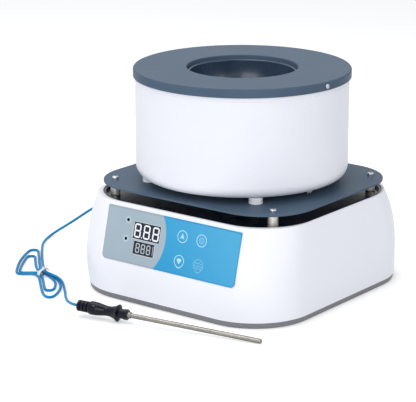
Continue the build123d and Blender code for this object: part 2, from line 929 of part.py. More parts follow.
with BuildPart() as insulation_jacket:
    with BuildSketch(Plane.XZ):
        block(jacket_hole_radius, pot_floor, jacket_foot_radius, jacket_step)
        block(jacket_hole_radius, jacket_step, jacket_radius, bowl_flange_bottom)
        with Locations((0, bowl_centre)):
            Circle(winding_outside + contact_gap, mode=Mode.SUBTRACT)
    revolve(axis=Axis.Z)
save(insulation_jacket, "insulation_jacket")

terminal_bottom = pot_bottom - terminal_drop
with BuildPart() as heater_terminals:
    with BuildSketch(Plane.XY.offset(terminal_bottom)):
        with PolarLocations(terminal_ring_radius, 1, terminal_angle):
            with GridLocations(1, terminal_pitch, 1, 2):
                Circle(terminal_radius)
    extrude(amount=terminal_length)
save(heater_terminals, "heater_terminals")

with BuildPart() as terminal_bead:
    with BuildSketch(Plane.XY.offset(pot_bottom - bead_reach)):
        with Locations(terminal_spot):
            Circle(bead_radius)
    extrude(amount=pot_sheet + 2 * bead_reach)
    add(heater_terminals.part, mode=Mode.SUBTRACT)
save(terminal_bead, "terminal_bead")

# ================================================================ stir drive
bracket_bottom = motor_top
with BuildPart() as motor_bracket:
    with BuildSketch(Plane.XZ) as profile:
        half = bracket_length / 2
        block(-half, bracket_bottom, half, bracket_bottom + bracket_sheet)
        for side in (-1, 1):
            inner, outer = sorted((side * (half - bracket_sheet), side * half))
            block(inner, bracket_bottom, outer, ledge_top)
            inner, outer = sorted((side * half, side * (half + bracket_flange)))
            block(inner, ledge_top - bracket_sheet, outer, ledge_top)
    extrude(amount=bracket_width / 2, both=True)
    with BuildSketch(Plane.XY.offset(bracket_bottom)):
        Circle(motor_boss_radius + fit_gap)
    extrude(amount=bracket_sheet, mode=Mode.SUBTRACT)
save(motor_bracket, "motor_bracket")

with BuildPart() as stir_motor:
    with BuildSketch(Plane.XZ) as profile:
        block(0, motor_bottom, motor_radius, motor_top)
        fillet(corner(profile, motor_radius, motor_bottom), radius=motor_round)
        block(0, motor_top, motor_boss_radius, motor_top + motor_boss_height)
        block(
            0,
            shaft_bottom - fit_gap,
            shaft_radius + bearing_clearance,
            motor_top + motor_boss_height,
            Mode.SUBTRACT,
        )
    revolve(axis=Axis.Z)
save(stir_motor, "stir_motor")

with BuildPart() as motor_shaft:
    with BuildSketch(Plane.XY.offset(shaft_bottom)):
        Circle(shaft_radius)
    extrude(amount=shaft_top - shaft_bottom)
save(motor_shaft, "motor_shaft")

carrier_top = carrier_bottom + carrier_height
magnet_bottom = carrier_top - magnet_pocket
with BuildPart() as drive_magnets:
    with BuildSketch(Plane.XY.offset(magnet_bottom)):
        with GridLocations(2 * magnet_offset, 1, 2, 1):
            Circle(magnet_radius)
    extrude(amount=magnet_height)
    fillet(drive_magnets.edges().group_by(Axis.Z)[-1], radius=magnet_round)
save(drive_magnets, "drive_magnets")

with BuildPart() as magnet_carrier:
    with BuildSketch(Plane.XY.offset(carrier_bottom)):
        SlotOverall(carrier_length, carrier_width)
    extrude(amount=carrier_height)
    with BuildSketch(Plane.XY.offset(carrier_bottom - carrier_hub_height)):
        Circle(carrier_hub_radius)
    extrude(amount=carrier_hub_height)
    add(motor_shaft.part, mode=Mode.SUBTRACT)
    add(drive_magnets.part, mode=Mode.SUBTRACT)
save(magnet_carrier, "magnet_carrier")

# ================================================================ power electronics
power_board_top = power_board_height + power_board_thickness
with BuildPart() as power_board:
    with BuildSketch(Plane.XY.offset(power_board_height)):
        with Locations(power_board_place):
            Rectangle(*power_board_size)
        with Locations(*power_board_corners):
            Circle(board_screw_radius + screw_clearance, mode=Mode.SUBTRACT)
    extrude(amount=power_board_thickness)
save(power_board, "power_board")

with BuildPart() as power_board_screws:
    with Locations(*[(x, y, power_board_top) for x, y in power_board_corners]):
        add(board_screw())
save(power_board_screws, "power_board_screws")

with BuildPart() as transformer:
    with BuildSketch(Plane.XY.offset(power_board_top)):
        with Locations(transformer_place):
            Rectangle(transformer_size[0], transformer_size[1])
    extrude(amount=transformer_size[2])
    fillet(transformer.edges().filter_by(Axis.Z), radius=transformer_round)
save(transformer, "transformer")

fin_pitch = (heat_sink_size[0] - fin_thickness) / (heat_sink_fins - 1)
with BuildPart() as heat_sink:
    with BuildSketch(Plane.XY.offset(power_board_top)):
        with Locations(heat_sink_place):
            Rectangle(heat_sink_size[0], heat_sink_size[1])
    extrude(amount=heat_sink_base)
    with BuildSketch(Plane.XY.offset(power_board_top)):
        with Locations(heat_sink_place):
            with GridLocations(fin_pitch, 1, heat_sink_fins, 1):
                Rectangle(fin_thickness, heat_sink_size[1])
    extrude(amount=heat_sink_size[2])
save(heat_sink, "heat_sink")

# ================================================================ control panel
with BuildPart() as panel_film:
    with BuildSketch(panel_plane) as outline:
        with Locations((panel_centre_x, 0)):
            Rectangle(panel_width, panel_height)
        fillet(outline.vertices().group_by(Axis.Y)[0], radius=panel_corner_low)
        fillet(outline.vertices().group_by(Axis.Y)[-1], radius=panel_corner_high)
        for x, y, width, height in (upper_display, lower_display):
            with Locations((x, y)):
                Rectangle(
                    width + 2 * display_gap, height + 2 * display_gap, mode=Mode.SUBTRACT
                )
        with Locations(*[(led_x, y) for y in led_rows]):
            Circle(led_radius + display_gap, mode=Mode.SUBTRACT)
    extrude(amount=film_thickness)
save(panel_film, "panel_film")

board_front = panel_plane.offset(-board_depth)
for label, (x, y, width, height) in (
    ("temperature_display", upper_display),
    ("speed_display", lower_display),
):
    with BuildPart() as display:
        with BuildSketch(board_front):
            with Locations((x, y)):
                Rectangle(width, height)
        extrude(amount=board_depth + film_thickness - display_setback)
    save(display, label)

with BuildPart() as indicator_lamps:
    with BuildSketch(board_front):
        with Locations(*[(led_x, y) for y in led_rows]):
            Circle(led_radius)
    extrude(amount=board_depth + film_thickness + led_rise)
    fillet(indicator_lamps.edges().sort_by(Axis.Y)[:2], radius=led_rise)
    with BuildSketch(board_front):
        with Locations(*[(led_x, y) for y in led_rows]):
            Circle(led_foot_radius)
    extrude(amount=led_foot_height)
save(indicator_lamps, "indicator_lamps")

with BuildPart() as key_switches:
    with BuildSketch(board_front):
        with Locations(*key_places):
            Rectangle(switch_size, switch_size)
    extrude(amount=switch_height)
    with BuildSketch(board_front):
        with Locations(*key_places):
            Circle(switch_stem_radius)
    extrude(amount=board_depth - contact_gap)
save(key_switches, "key_switches")

with BuildPart() as control_board:
    with BuildSketch(board_front):
        with Locations((panel_centre_x, 0)):
            Rectangle(board_width, board_height)
        with Locations(*board_screw_places):
            Circle(board_screw_radius + screw_clearance, mode=Mode.SUBTRACT)
    extrude(amount=-board_thickness)
save(control_board, "control_board")

board_back = board_front.offset(-board_thickness)
with BuildPart() as board_screws:
    with Locations(*[board_back.location * Pos(x, y, 0) for x, y in board_screw_places]):
        add(board_screw(), rotation=(180, 0, 0))
save(board_screws, "board_screws")

# ================================================================ mains inlet and switch
inlet_spot = (-inlet_x, inlet_height)
socket_spot = (-inlet_x, inlet_height + socket_drop)
drawer_spot = (-inlet_x, inlet_height + drawer_rise)
inlet_face = rear_panel_plane.offset(inlet_flange[2])
socket_floor = inlet_face.offset(-socket_mouth[2])

with BuildPart() as inlet_blades:
    with BuildSketch(socket_floor.offset(-blade_root)):
        for step in (-1, 0, 1):
            rise = blade_rise if step == 0 else -blade_rise
            with Locations((socket_spot[0] + step * blade_pitch, socket_spot[1] + rise)):
                Rectangle(blade[0], blade[1])
    extrude(amount=blade[2])
save(inlet_blades, "inlet_blades")

with BuildPart() as mains_inlet:
    with BuildSketch(rear_panel_plane):
        with Locations(inlet_spot):
            RectangleRounded(inlet_flange[0], inlet_flange[1], rear_pocket_round)
    extrude(amount=inlet_flange[2])
    fillet(mains_inlet.edges().group_by(Axis.Y)[-1], radius=inlet_edge_round)
    with BuildSketch(rear_panel_plane):
        with Locations(inlet_spot):
            Rectangle(inlet_body[0], inlet_body[1])
    extrude(amount=-inlet_body[2])
    # socket with two cut corners beside the earth blade
    with BuildSketch(inlet_face) as mouth:
        with Locations(socket_spot):
            Rectangle(socket_mouth[0], socket_mouth[1])
        chamfer(mouth.vertices().group_by(Axis.Y)[-1], length=socket_chamfer)
    extrude(amount=-socket_mouth[2], mode=Mode.SUBTRACT)
    add(inlet_blades.part, mode=Mode.SUBTRACT)
    # slot of the fuse drawer and the screw holes
    with BuildSketch(inlet_face):
        with Locations(drawer_spot):
            Rectangle(drawer_width + 2 * slide_gap, drawer_height + 2 * slide_gap)
    extrude(amount=-(drawer_depth - drawer_lip + slide_gap), mode=Mode.SUBTRACT)
    with BuildSketch(rear_panel_plane):
        with Locations(inlet_spot):
            with GridLocations(inlet_screw_pitch, 1, 2, 1):
                Circle(board_screw_radius + screw_clearance)
    extrude(amount=inlet_flange[2], mode=Mode.SUBTRACT)
save(mains_inlet, "mains_inlet")

with BuildPart() as inlet_screws:
    with Locations(
        *[
            inlet_face.location * Pos(inlet_spot[0] + side * inlet_screw_pitch / 2, inlet_spot[1], 0)
            for side in (-1, 1)
        ]
    ):
        add(board_screw())
save(inlet_screws, "inlet_screws")

drawer_front = inlet_face.offset(drawer_lip)
fuse_y = rear_face + inlet_flange[2] - drawer_depth / 2
fuse_z = inlet_height + drawer_rise - drawer_height / 2 + drawer_wall + fuse_radius + contact_gap
with BuildPart() as fuse_drawer:
    with BuildSketch(drawer_front):
        with Locations(drawer_spot):
            Rectangle(drawer_width, drawer_height)
    extrude(amount=-drawer_depth)
    # cradle of the fuse, open at the top, and the finger groove in the front
    with BuildSketch(Plane.XY.offset(inlet_height + drawer_rise + drawer_height / 2)):
        with Locations((inlet_x, fuse_y)):
            Rectangle(fuse_length + 2 * slide_gap, 2 * (fuse_radius + slide_gap))
    extrude(amount=drawer_wall - drawer_height, mode=Mode.SUBTRACT)
    with BuildSketch(drawer_front):
        with Locations((drawer_spot[0], drawer_spot[1] - drawer_height / 2)):
            Rectangle(drawer_width / 2, drawer_wall * 2)
    extrude(amount=-drawer_lip, mode=Mode.SUBTRACT)
save(fuse_drawer, "fuse_drawer")

with BuildPart() as fuse:
    with BuildSketch(Plane.YZ.offset(inlet_x - fuse_length / 2)):
        with Locations((fuse_y, fuse_z)):
            Circle(fuse_radius)
    extrude(amount=fuse_length)
save(fuse, "fuse")

rocker_plane = Plane(
    origin=(rocker_x, rear_face, rocker_height),
    x_dir=(0, cos(radians(rocker_tilt)), -sin(radians(rocker_tilt))),
    z_dir=(1, 0, 0),
)
with BuildPart() as power_rocker:
    with BuildSketch(rocker_plane):
        Circle(rocker_reach)
        with BuildLine():
            Polyline(
                (-rocker_depth, rocker_reach),
                (rocker_rise, rocker_reach),
                (rocker_rise - rocker_dish, 0),
                (rocker_rise, -rocker_reach),
                (-rocker_depth, -rocker_reach),
                close=True,
            )
        make_face(mode=Mode.INTERSECT)
    extrude(amount=rocker_width / 2, both=True)
    with BuildSketch(rocker_plane):
        Circle(rocker_pin_radius)
    extrude(amount=rocker_width / 2 + rocker_pin_length, both=True)
save(power_rocker, "power_rocker")

with BuildPart() as switch_frame:
    with BuildSketch(rear_panel_plane):
        with Locations((-rocker_x, rocker_height)):
            RectangleRounded(rocker_frame[0], rocker_frame[1], rocker_frame_round)
    extrude(amount=rocker_frame[2])
    fillet(switch_frame.edges().group_by(Axis.Y)[-1], radius=inlet_edge_round)
    with BuildSketch(rear_panel_plane):
        with Locations((-rocker_x, rocker_height)):
            Rectangle(rocker_body[0], rocker_body[1])
    extrude(amount=-rocker_body[2])
    with BuildSketch(rear_panel_plane.offset(rocker_frame[2])):
        with Locations((-rocker_x, rocker_height)):
            Rectangle(rocker_width + 2 * rocker_gap, 2 * (rocker_reach + rocker_gap))
    extrude(amount=-(rocker_frame[2] + rocker_well), mode=Mode.SUBTRACT)
    with BuildSketch(rocker_plane):
        Circle(rocker_pin_radius + bearing_clearance)
    extrude(
        amount=rocker_width / 2 + rocker_pin_length + bearing_clearance,
        both=True,
        mode=Mode.SUBTRACT,
    )
save(switch_frame, "switch_frame")

# ================================================================ probe socket and plug
# profiles are drawn with x along the socket's axis, out of the wall, and y as the radius
jack_section = Plane(
    origin=(-housing_half_width, socket_y, socket_height), x_dir=(-1, 0, 0), z_dir=(0, 0, 1)
)
jack_axis = Axis((-housing_half_width, socket_y, socket_height), (-1, 0, 0))
jack_end = jack_flange + jack_thread_out

with BuildPart() as probe_socket:
    with BuildSketch(jack_section):
        block(contact_gap, 0, jack_flange, jack_flange_radius)
        block(-jack_thread_in, 0, jack_end, jack_thread_radius)
        block(jack_flange, 0, jack_end, jack_bore_radius, Mode.SUBTRACT)
    revolve(axis=jack_axis)
save(probe_socket, "probe_socket")

# the wall starts to lean in behind the top of the nut
nut_seat = housing_wall + housing_half_width - housing_width(socket_height + jack_nut_radius)
with BuildPart() as socket_nut:
    with BuildSketch(side_plane.offset(-nut_seat)):
        RegularPolygon(jack_nut_radius, 6)
        Circle(jack_thread_radius + thread_gap, mode=Mode.SUBTRACT)
    extrude(amount=-jack_nut_height)
save(socket_nut, "socket_nut")

plug_body_end = jack_end + plug_body_length
plug_end = plug_body_end + plug_boot_length
with BuildPart() as probe_plug:
    with BuildSketch(jack_section):
        block(jack_end - plug_nose_length, 0, jack_end, jack_bore_radius - plug_bore_gap)
        block(jack_end, 0, plug_body_end, plug_radius)
        with BuildLine():
            Polyline(
                (plug_body_end, 0),
                (plug_body_end, plug_radius - plug_bore_gap),
                (plug_end, plug_boot_radius),
                (plug_end, 0),
                close=True,
            )
        make_face()
    revolve(axis=jack_axis)
save(probe_plug, "probe_plug")

ring_start = jack_flange + fit_gap
with BuildPart() as plug_ring:
    with BuildSketch(side_plane.offset(ring_start)):
        Circle(plug_ring_radius)
        with PolarLocations(plug_ring_radius, plug_grooves):
            Circle(plug_groove_radius, mode=Mode.SUBTRACT)
        Circle(plug_radius, mode=Mode.SUBTRACT)
    extrude(amount=plug_ring_length)
    with BuildSketch(side_plane.offset(ring_start)):
        Circle(jack_thread_radius + plug_bore_gap)
    extrude(amount=jack_end - ring_start, mode=Mode.SUBTRACT)
save(plug_ring, "plug_ring")

# ================================================================ probe
# the probe lies on its handle's collar and on the tip of the rod
rest_span = probe_length - rod_tip_round - handle_collar
probe_tilt = atan((handle_collar_radius - rod_radius) / rest_span)
collar_height = handle_collar_radius * cos(probe_tilt)
probe_start = Vector(*probe_rear, collar_height + handle_collar * sin(probe_tilt))
heading = radians(probe_heading)
probe_direction = Vector(
    cos(heading) * cos(probe_tilt), sin(heading) * cos(probe_tilt), -sin(probe_tilt)
)
# profiles are drawn with x along the probe and y as the radius
probe_section = Plane(
    origin=probe_start, x_dir=probe_direction, z_dir=(sin(heading), -cos(heading), 0)
)
probe_axis = Axis(probe_start, probe_direction)
ferrule_end = handle_length + ferrule_length
rod_start = handle_length - rod_socket_depth

with BuildPart() as probe_rod:
    with BuildSketch(probe_section) as profile:
        block(rod_start, 0, probe_length, rod_radius)
        fillet(corner(profile, probe_length, rod_radius), radius=rod_tip_round)
    revolve(axis=probe_axis)
save(probe_rod, "probe_rod")

with BuildPart() as probe_ferrule:
    with BuildSketch(probe_section) as profile:
        block(handle_length, rod_radius, ferrule_end, ferrule_radius)
        fillet(corner(profile, ferrule_end, ferrule_radius), radius=ferrule_round)
    revolve(axis=probe_axis)
save(probe_ferrule, "probe_ferrule")

with BuildPart() as probe_handle:
    with BuildSketch(probe_section) as profile:
        block(0, 0, handle_grip_start, handle_core)
        for place in handle_rib_places:
            block(place - handle_rib_width / 2, 0, place + handle_rib_width / 2, handle_rib_radius)
        with BuildLine():
            grip = Spline(
                (handle_grip_start, handle_rib_radius),
                (handle_grip_start + 2 * handle_rib_width, handle_grip_radius),
                handle_waist,
                (handle_collar, handle_collar_radius),
                tangents=((1, 1), (1, 0.6)),
            )
            Polyline(
                grip @ 1,
                (handle_neck[0], handle_neck[1]),
                (handle_end_ring[0], handle_neck[1]),
                handle_end_ring,
                (handle_length, handle_end_ring[1]),
                (handle_length, 0),
                (handle_grip_start, 0),
                grip @ 0,
            )
        make_face()
        block(rod_start, 0, handle_length, rod_radius, Mode.SUBTRACT)
    revolve(axis=probe_axis)
save(probe_handle, "probe_handle")

# ================================================================ probe cord
hank_plane = Plane(
    origin=(*hank_neck, 0),
    x_dir=(cos(radians(hank_turn)), sin(radians(hank_turn)), 0),
    z_dir=(0, 0, 1),
)


def hank_loop(line, hole):
    """One closed loop of gathered cord turns seen from above."""
    with BuildSketch() as loop:
        with BuildLine():
            Polyline(*line, close=True)
        make_face()
        offset(amount=hank_band / 2)
        with BuildLine():
            FilletPolyline(*hole, radius=hank_hole_round, close=True)
        make_face(mode=Mode.SUBTRACT)
    return loop.sketch


with BuildPart() as cord_hank:
    extrude(hank_loop(hank_upper_loop, hank_upper_hole), amount=hank_height)
    extrude(hank_loop(hank_lower_loop, hank_lower_hole), amount=hank_height)
    with BuildSketch(hank_plane):
        RectangleRounded(hank_neck_length, hank_neck_width, hank_height)
    extrude(amount=hank_height)
    # room for the tie below the neck
    with BuildSketch(hank_plane):
        Rectangle(tie_width, 2 * hank_neck_width)
    extrude(amount=tie_sheet, mode=Mode.SUBTRACT)

with BuildPart() as cord_tie:
    with BuildSketch(hank_plane):
        Rectangle(tie_width, hank_neck_width + 2 * tie_sheet)
    extrude(amount=hank_height + tie_sheet)
    add(cord_hank.part, mode=Mode.SUBTRACT)
save(cord_tie, "cord_tie")
save(cord_hank, "cord_hank")


def cord_tube(label, route):
    """A round cord along a route of straight runs joined by tangent bends."""
    points = [Vector(*point) for point in route]
    radii = []
    for before, middle, after in zip(points, points[1:], points[2:]):
        half_turn = radians((middle - before).get_angle(after - middle)) / 2
        shorter = min((middle - before).length, (after - middle).length)
        radii.append(bend_share * shorter / tan(half_turn))
    with BuildPart() as tube:
        with BuildLine() as path:
            FilletPolyline(*points, radius=radii)
        with BuildSketch(Plane(origin=path.line @ 0, z_dir=path.line % 0)):
            Circle(cord_radius)
        sweep()
    length = sum(edge.length for edge in path.edges())
    print(label, "bend radii", [round(radius, 1) for radius in radii], "length", round(length, 1))
    return tube.part


plug_cord_end = (-housing_half_width - plug_end, socket_y, socket_height)
tail_lead = probe_start - tail_lead_length * probe_direction

with BuildPart() as probe_cord:
    add(cord_tube("probe_cord", [plug_cord_end, *plug_cord_route]))
    add(cord_hank.part, mode=Mode.SUBTRACT)
save(probe_cord, "probe_cord")

with BuildPart() as probe_cord_tail:
    add(cord_tube("probe_cord_tail", [*tail_route, tuple(tail_lead), tuple(probe_start)]))
    add(cord_hank.part, mode=Mode.SUBTRACT)
save(probe_cord_tail, "probe_cord_tail")
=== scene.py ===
"""Heating mantle with temperature probe: camera, cord, finishes, panel marks and studio."""

from math import cos, pi, radians, sin

import bmesh
import bpy
from mathutils import Matrix, Vector


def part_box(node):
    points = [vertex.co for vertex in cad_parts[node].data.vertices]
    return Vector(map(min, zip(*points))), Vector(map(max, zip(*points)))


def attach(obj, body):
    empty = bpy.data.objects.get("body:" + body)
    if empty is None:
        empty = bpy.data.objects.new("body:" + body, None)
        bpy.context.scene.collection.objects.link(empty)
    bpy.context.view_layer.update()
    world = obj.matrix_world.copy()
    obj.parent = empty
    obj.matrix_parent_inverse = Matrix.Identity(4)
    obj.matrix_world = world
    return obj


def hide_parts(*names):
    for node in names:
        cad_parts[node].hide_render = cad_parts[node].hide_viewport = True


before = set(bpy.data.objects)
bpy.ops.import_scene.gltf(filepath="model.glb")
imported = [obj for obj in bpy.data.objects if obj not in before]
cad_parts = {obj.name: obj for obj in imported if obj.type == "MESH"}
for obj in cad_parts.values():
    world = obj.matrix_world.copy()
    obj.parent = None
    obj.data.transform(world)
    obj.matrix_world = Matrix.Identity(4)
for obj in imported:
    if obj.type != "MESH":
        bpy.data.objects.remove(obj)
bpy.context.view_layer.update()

scene = bpy.context.scene
scene.view_settings.view_transform = "Standard"

# ---------------------------------------------------------------- camera
camera_place = (1.1497, -1.5469, 0.6309)
camera_turn = (radians(74.1538), 0.0, radians(37.6448))
sensor_width, focal_length = 36.0, 169.14
camera_data = bpy.data.cameras.new("camera")
camera_data.sensor_width = sensor_width
camera_data.lens = focal_length
camera = bpy.data.objects.new("camera", camera_data)
camera.location = camera_place
camera.rotation_euler = camera_turn
scene.collection.objects.link(camera)
scene.camera = camera

# ---------------------------------------------------------------- probe cord
# The cord leaves the plug, folds twice through the tie on each side, and ends in the handle.
cord_thickness = 0.0028
plug_to_tie = [
    (-0.1600, 0.0520, 0.0450), (-0.1720, 0.0520, 0.0450), (-0.1960, 0.0520, 0.0442),
    (-0.2190, 0.0460, 0.0360), (-0.2380, 0.0380, 0.0250), (-0.2510, 0.0220, 0.0120),
    (-0.2600, -0.0050, 0.0014), (-0.2470, -0.0330, 0.0014), (-0.2310, -0.0520, 0.0014),
    (-0.2160, -0.0685, 0.0014), (-0.2010, -0.0842, 0.0014), (-0.1885, -0.0968, 0.0014),
    (-0.1800, -0.1050, 0.0014),
]
first_long_loop = [
    (-0.1715, -0.1108, 0.0020), (-0.1630, -0.1138, 0.0020), (-0.1535, -0.1174, 0.0014),
    (-0.1435, -0.1230, 0.0014), (-0.1334, -0.1310, 0.0014), (-0.1248, -0.1408, 0.0014),
    (-0.1184, -0.1512, 0.0014), (-0.1142, -0.1604, 0.0014), (-0.1132, -0.1666, 0.0014),
    (-0.1164, -0.1696, 0.0014), (-0.1216, -0.1682, 0.0014), (-0.1280, -0.1638, 0.0014),
    (-0.1355, -0.1573, 0.0014), (-0.1440, -0.1492, 0.0014), (-0.1525, -0.1409, 0.0014),
    (-0.1610, -0.1326, 0.0014), (-0.1692, -0.1254, 0.0020),
]
first_high_loop = [
    (-0.1774, -0.1226, 0.0020), (-0.1836, -0.1254, 0.0015), (-0.1888, -0.1298, 0.0014),
    (-0.1938, -0.1310, 0.0014), (-0.1986, -0.1272, 0.0014), (-0.2048, -0.1196, 0.0014),
    (-0.2114, -0.1110, 0.0014), (-0.2176, -0.1024, 0.0014), (-0.2234, -0.0932, 0.0014),
    (-0.2288, -0.0836, 0.0014), (-0.2336, -0.0738, 0.0014), (-0.2382, -0.0640, 0.0014),
    (-0.2362, -0.0589, 0.0014), (-0.2308, -0.0584, 0.0014), (-0.2247, -0.0644, 0.0014),
    (-0.2176, -0.0719, 0.0014), (-0.2104, -0.0788, 0.0014), (-0.2037, -0.0863, 0.0014),
    (-0.1966, -0.0933, 0.0014), (-0.1896, -0.1004, 0.0014), (-0.1822, -0.1076, 0.0015),
]
second_long_loop = [
    (-0.1736, -0.1138, 0.0020), (-0.1650, -0.1170, 0.0020), (-0.1562, -0.1204, 0.0015),
    (-0.1478, -0.1250, 0.0014), (-0.1400, -0.1312, 0.0014), (-0.1334, -0.1392, 0.0014),
    (-0.1276, -0.1476, 0.0014), (-0.1290, -0.1528, 0.0014), (-0.1339, -0.1538, 0.0014),
    (-0.1394, -0.1488, 0.0014), (-0.1455, -0.1429, 0.0014), (-0.1540, -0.1346, 0.0014),
    (-0.1623, -0.1268, 0.0017), (-0.1700, -0.1208, 0.0020),
]
second_high_loop = [
    (-0.1780, -0.1184, 0.0020), (-0.1840, -0.1212, 0.0016), (-0.1892, -0.1254, 0.0014),
    (-0.1934, -0.1266, 0.0014), (-0.1974, -0.1232, 0.0014), (-0.2030, -0.1160, 0.0014),
    (-0.2086, -0.1082, 0.0014), (-0.2138, -0.1002, 0.0014), (-0.2192, -0.0914, 0.0014),
    (-0.2250, -0.0819, 0.0014), (-0.2232, -0.0772, 0.0014), (-0.2184, -0.0766, 0.0014),
    (-0.2136, -0.0818, 0.0014), (-0.2090, -0.0868, 0.0014), (-0.2022, -0.0937, 0.0014),
    (-0.1952, -0.1007, 0.0014), (-0.1882, -0.1070, 0.0014),
]
tie_to_handle = [
    (-0.1805, -0.1126, 0.0031), (-0.1720, -0.1166, 0.0047), (-0.1635, -0.1186, 0.0051),
    (-0.1545, -0.1196, 0.0045), (-0.1462, -0.1218, 0.0045), (-0.1386, -0.1254, 0.0044),
    (-0.1314, -0.1296, 0.0030), (-0.1244, -0.1356, 0.0014), (-0.1155, -0.1442, 0.0014),
    (-0.1016, -0.1589, 0.0016), (-0.0904, -0.1695, 0.0036), (-0.0765, -0.1815, 0.0072),
    (-0.0627, -0.1900, 0.0102), (-0.0575, -0.1892, 0.0105),
]

cord_curve = bpy.data.curves.new("probe_cord_line", "CURVE")
cord_curve.dimensions = "3D"
cord_curve.bevel_depth = cord_thickness / 2
cord_curve.bevel_resolution = 4
cord_curve.use_fill_caps = True
cord_route = (
    plug_to_tie + first_long_loop + first_high_loop
    + second_long_loop + second_high_loop + tie_to_handle
)
cord_spline = cord_curve.splines.new("NURBS")
cord_spline.points.add(len(cord_route) - 1)
for point, place in zip(cord_spline.points, cord_route):
    point.co = (*place, 1.0)
cord_spline.order_u = 3
cord_spline.use_endpoint_u = True
cord_spline.resolution_u = 8
cord_piece = bpy.data.objects.new("probe_cord_line", cord_curve)
scene.collection.objects.link(cord_piece)


# ---------------------------------------------------------------- shader helpers
def paint(red, green, blue):
    """A paint chip's 0 to 255 levels as the linear colour that a shader takes."""
    levels = [level / 255 for level in (red, green, blue)]
    linear = [v / 12.92 if v <= 0.04045 else ((v + 0.055) / 1.055) ** 2.4 for v in levels]
    return (*linear, 1.0)


def feed(tree, socket, value):
    """Sets a socket to a number or colour, or links another node's output to it."""
    if isinstance(value, bpy.types.NodeSocket):
        tree.links.new(value, socket)
    else:
        socket.default_value = value


def add(tree, kind, inputs=None, **settings):
    """One shader node with its settings and inputs."""
    node = tree.nodes.new(kind)
    for name, value in settings.items():
        setattr(node, name, value)
    for name, value in (inputs or {}).items():
        feed(tree, node.inputs[name], value)
    return node


def blend_colour(tree, share, first, second):
    """The first colour at share 0, the second at share 1."""
    node = add(tree, "ShaderNodeMix", {0: share, 6: first, 7: second}, data_type="RGBA")
    return node.outputs[2]


def reckon(tree, operation, first, second=0.0, third=0.0):
    """The result of one Math node."""
    values = {0: first, 1: second, 2: third}
    return add(tree, "ShaderNodeMath", values, operation=operation).outputs[0]


def aim(tree, operation, first, second=(0.0, 0.0, 0.0)):
    """One Vector Math node, whose output 0 is a vector and output 1 a number."""
    return add(tree, "ShaderNodeVectorMath", {0: first, 1: second}, operation=operation)


def ramp_between(tree, value, low, high, start=0.0, end=1.0):
    """The value mapped from low and high onto start and end, and held outside them."""
    return add(tree, "ShaderNodeMapRange", {
        "Value": value, "From Min": low, "From Max": high, "To Min": start, "To Max": end,
    }).outputs[0]


def seen_directly(tree):
    """1 for a ray that sees the surface, straight or by way of another; 0 for one that lights."""
    rays = add(tree, "ShaderNodeLightPath").outputs
    mirrored = reckon(tree, "MAXIMUM", rays["Is Glossy Ray"], rays["Is Transmission Ray"])
    return reckon(tree, "MAXIMUM", rays["Is Camera Ray"], mirrored)


def new_group(name, inputs, outputs):
    """An empty node group with its sockets, and the sockets as seen from inside."""
    group = bpy.data.node_groups.new(name, "ShaderNodeTree")
    for label, (kind, value) in inputs.items():
        socket = group.interface.new_socket(name=label, in_out="INPUT", socket_type=kind)
        socket.default_value = value
    for label, kind in outputs.items():
        group.interface.new_socket(name=label, in_out="OUTPUT", socket_type=kind)
    return group, add(group, "NodeGroupInput").outputs, add(group, "NodeGroupOutput").inputs


# ---------------------------------------------------------------- effects shared by the finishes
number, colour_socket, arrow = "NodeSocketFloat", "NodeSocketColor", "NodeSocketVector"

finish_drift, given, result = new_group(
    "finish_drift",
    {
        "Colour": (colour_socket, (0.8, 0.8, 0.8, 1.0)),
        "Shade": (colour_socket, (0.7, 0.7, 0.7, 1.0)),
        "Stretch": (arrow, (1.0, 1.0, 1.0)),
        "Drift": (number, 14.0),
        "Grain": (number, 900.0),
        "Smooth": (number, 0.3),
        "Rough": (number, 0.4),
    },
    {"Colour": colour_socket, "Roughness": number, "Height": number},
)
place = add(finish_drift, "ShaderNodeTexCoord").outputs["Object"]
stretched = aim(finish_drift, "MULTIPLY", place, given["Stretch"]).outputs[0]
slow = add(finish_drift, "ShaderNodeTexNoise", {
    "Vector": stretched, "Scale": given["Drift"], "Detail": 3.0, "Roughness": 0.55,
}).outputs[0]
fine = add(finish_drift, "ShaderNodeTexNoise", {
    "Vector": stretched, "Scale": given["Grain"], "Detail": 2.0, "Roughness": 0.5,
}).outputs[0]
slow_share, fine_share = 0.75, 0.25
drifted = reckon(
    finish_drift, "ADD",
    reckon(finish_drift, "MULTIPLY", slow, slow_share),
    reckon(finish_drift, "MULTIPLY", fine, fine_share),
)
shading = ramp_between(finish_drift, drifted, 0.35, 0.65)
shaded = blend_colour(finish_drift, shading, given["Shade"], given["Colour"])
worn = ramp_between(finish_drift, slow, 0.3, 0.7, given["Smooth"], given["Rough"])
feed(finish_drift, result["Colour"], shaded)
feed(finish_drift, result["Roughness"], worn)
feed(finish_drift, result["Height"], fine)

ruled_lines, given, result = new_group(
    "ruled_lines",
    {
        "Across": (arrow, (1.0, 0.0, 0.0)),
        "Pitch": (number, 0.001),
        "Sharpness": (number, 0.5),
    },
    {"Mask": number},
)
place = add(ruled_lines, "ShaderNodeTexCoord").outputs["Object"]
across = aim(ruled_lines, "DOT_PRODUCT", place, given["Across"]).outputs[1]
pitches = reckon(ruled_lines, "DIVIDE", across, given["Pitch"])
turns = reckon(ruled_lines, "MULTIPLY", pitches, 2 * pi)
wave = reckon(ruled_lines, "MULTIPLY_ADD", reckon(ruled_lines, "SINE", turns), 0.5, 0.5)
feed(ruled_lines, result["Mask"], reckon(ruled_lines, "POWER", wave, given["Sharpness"]))


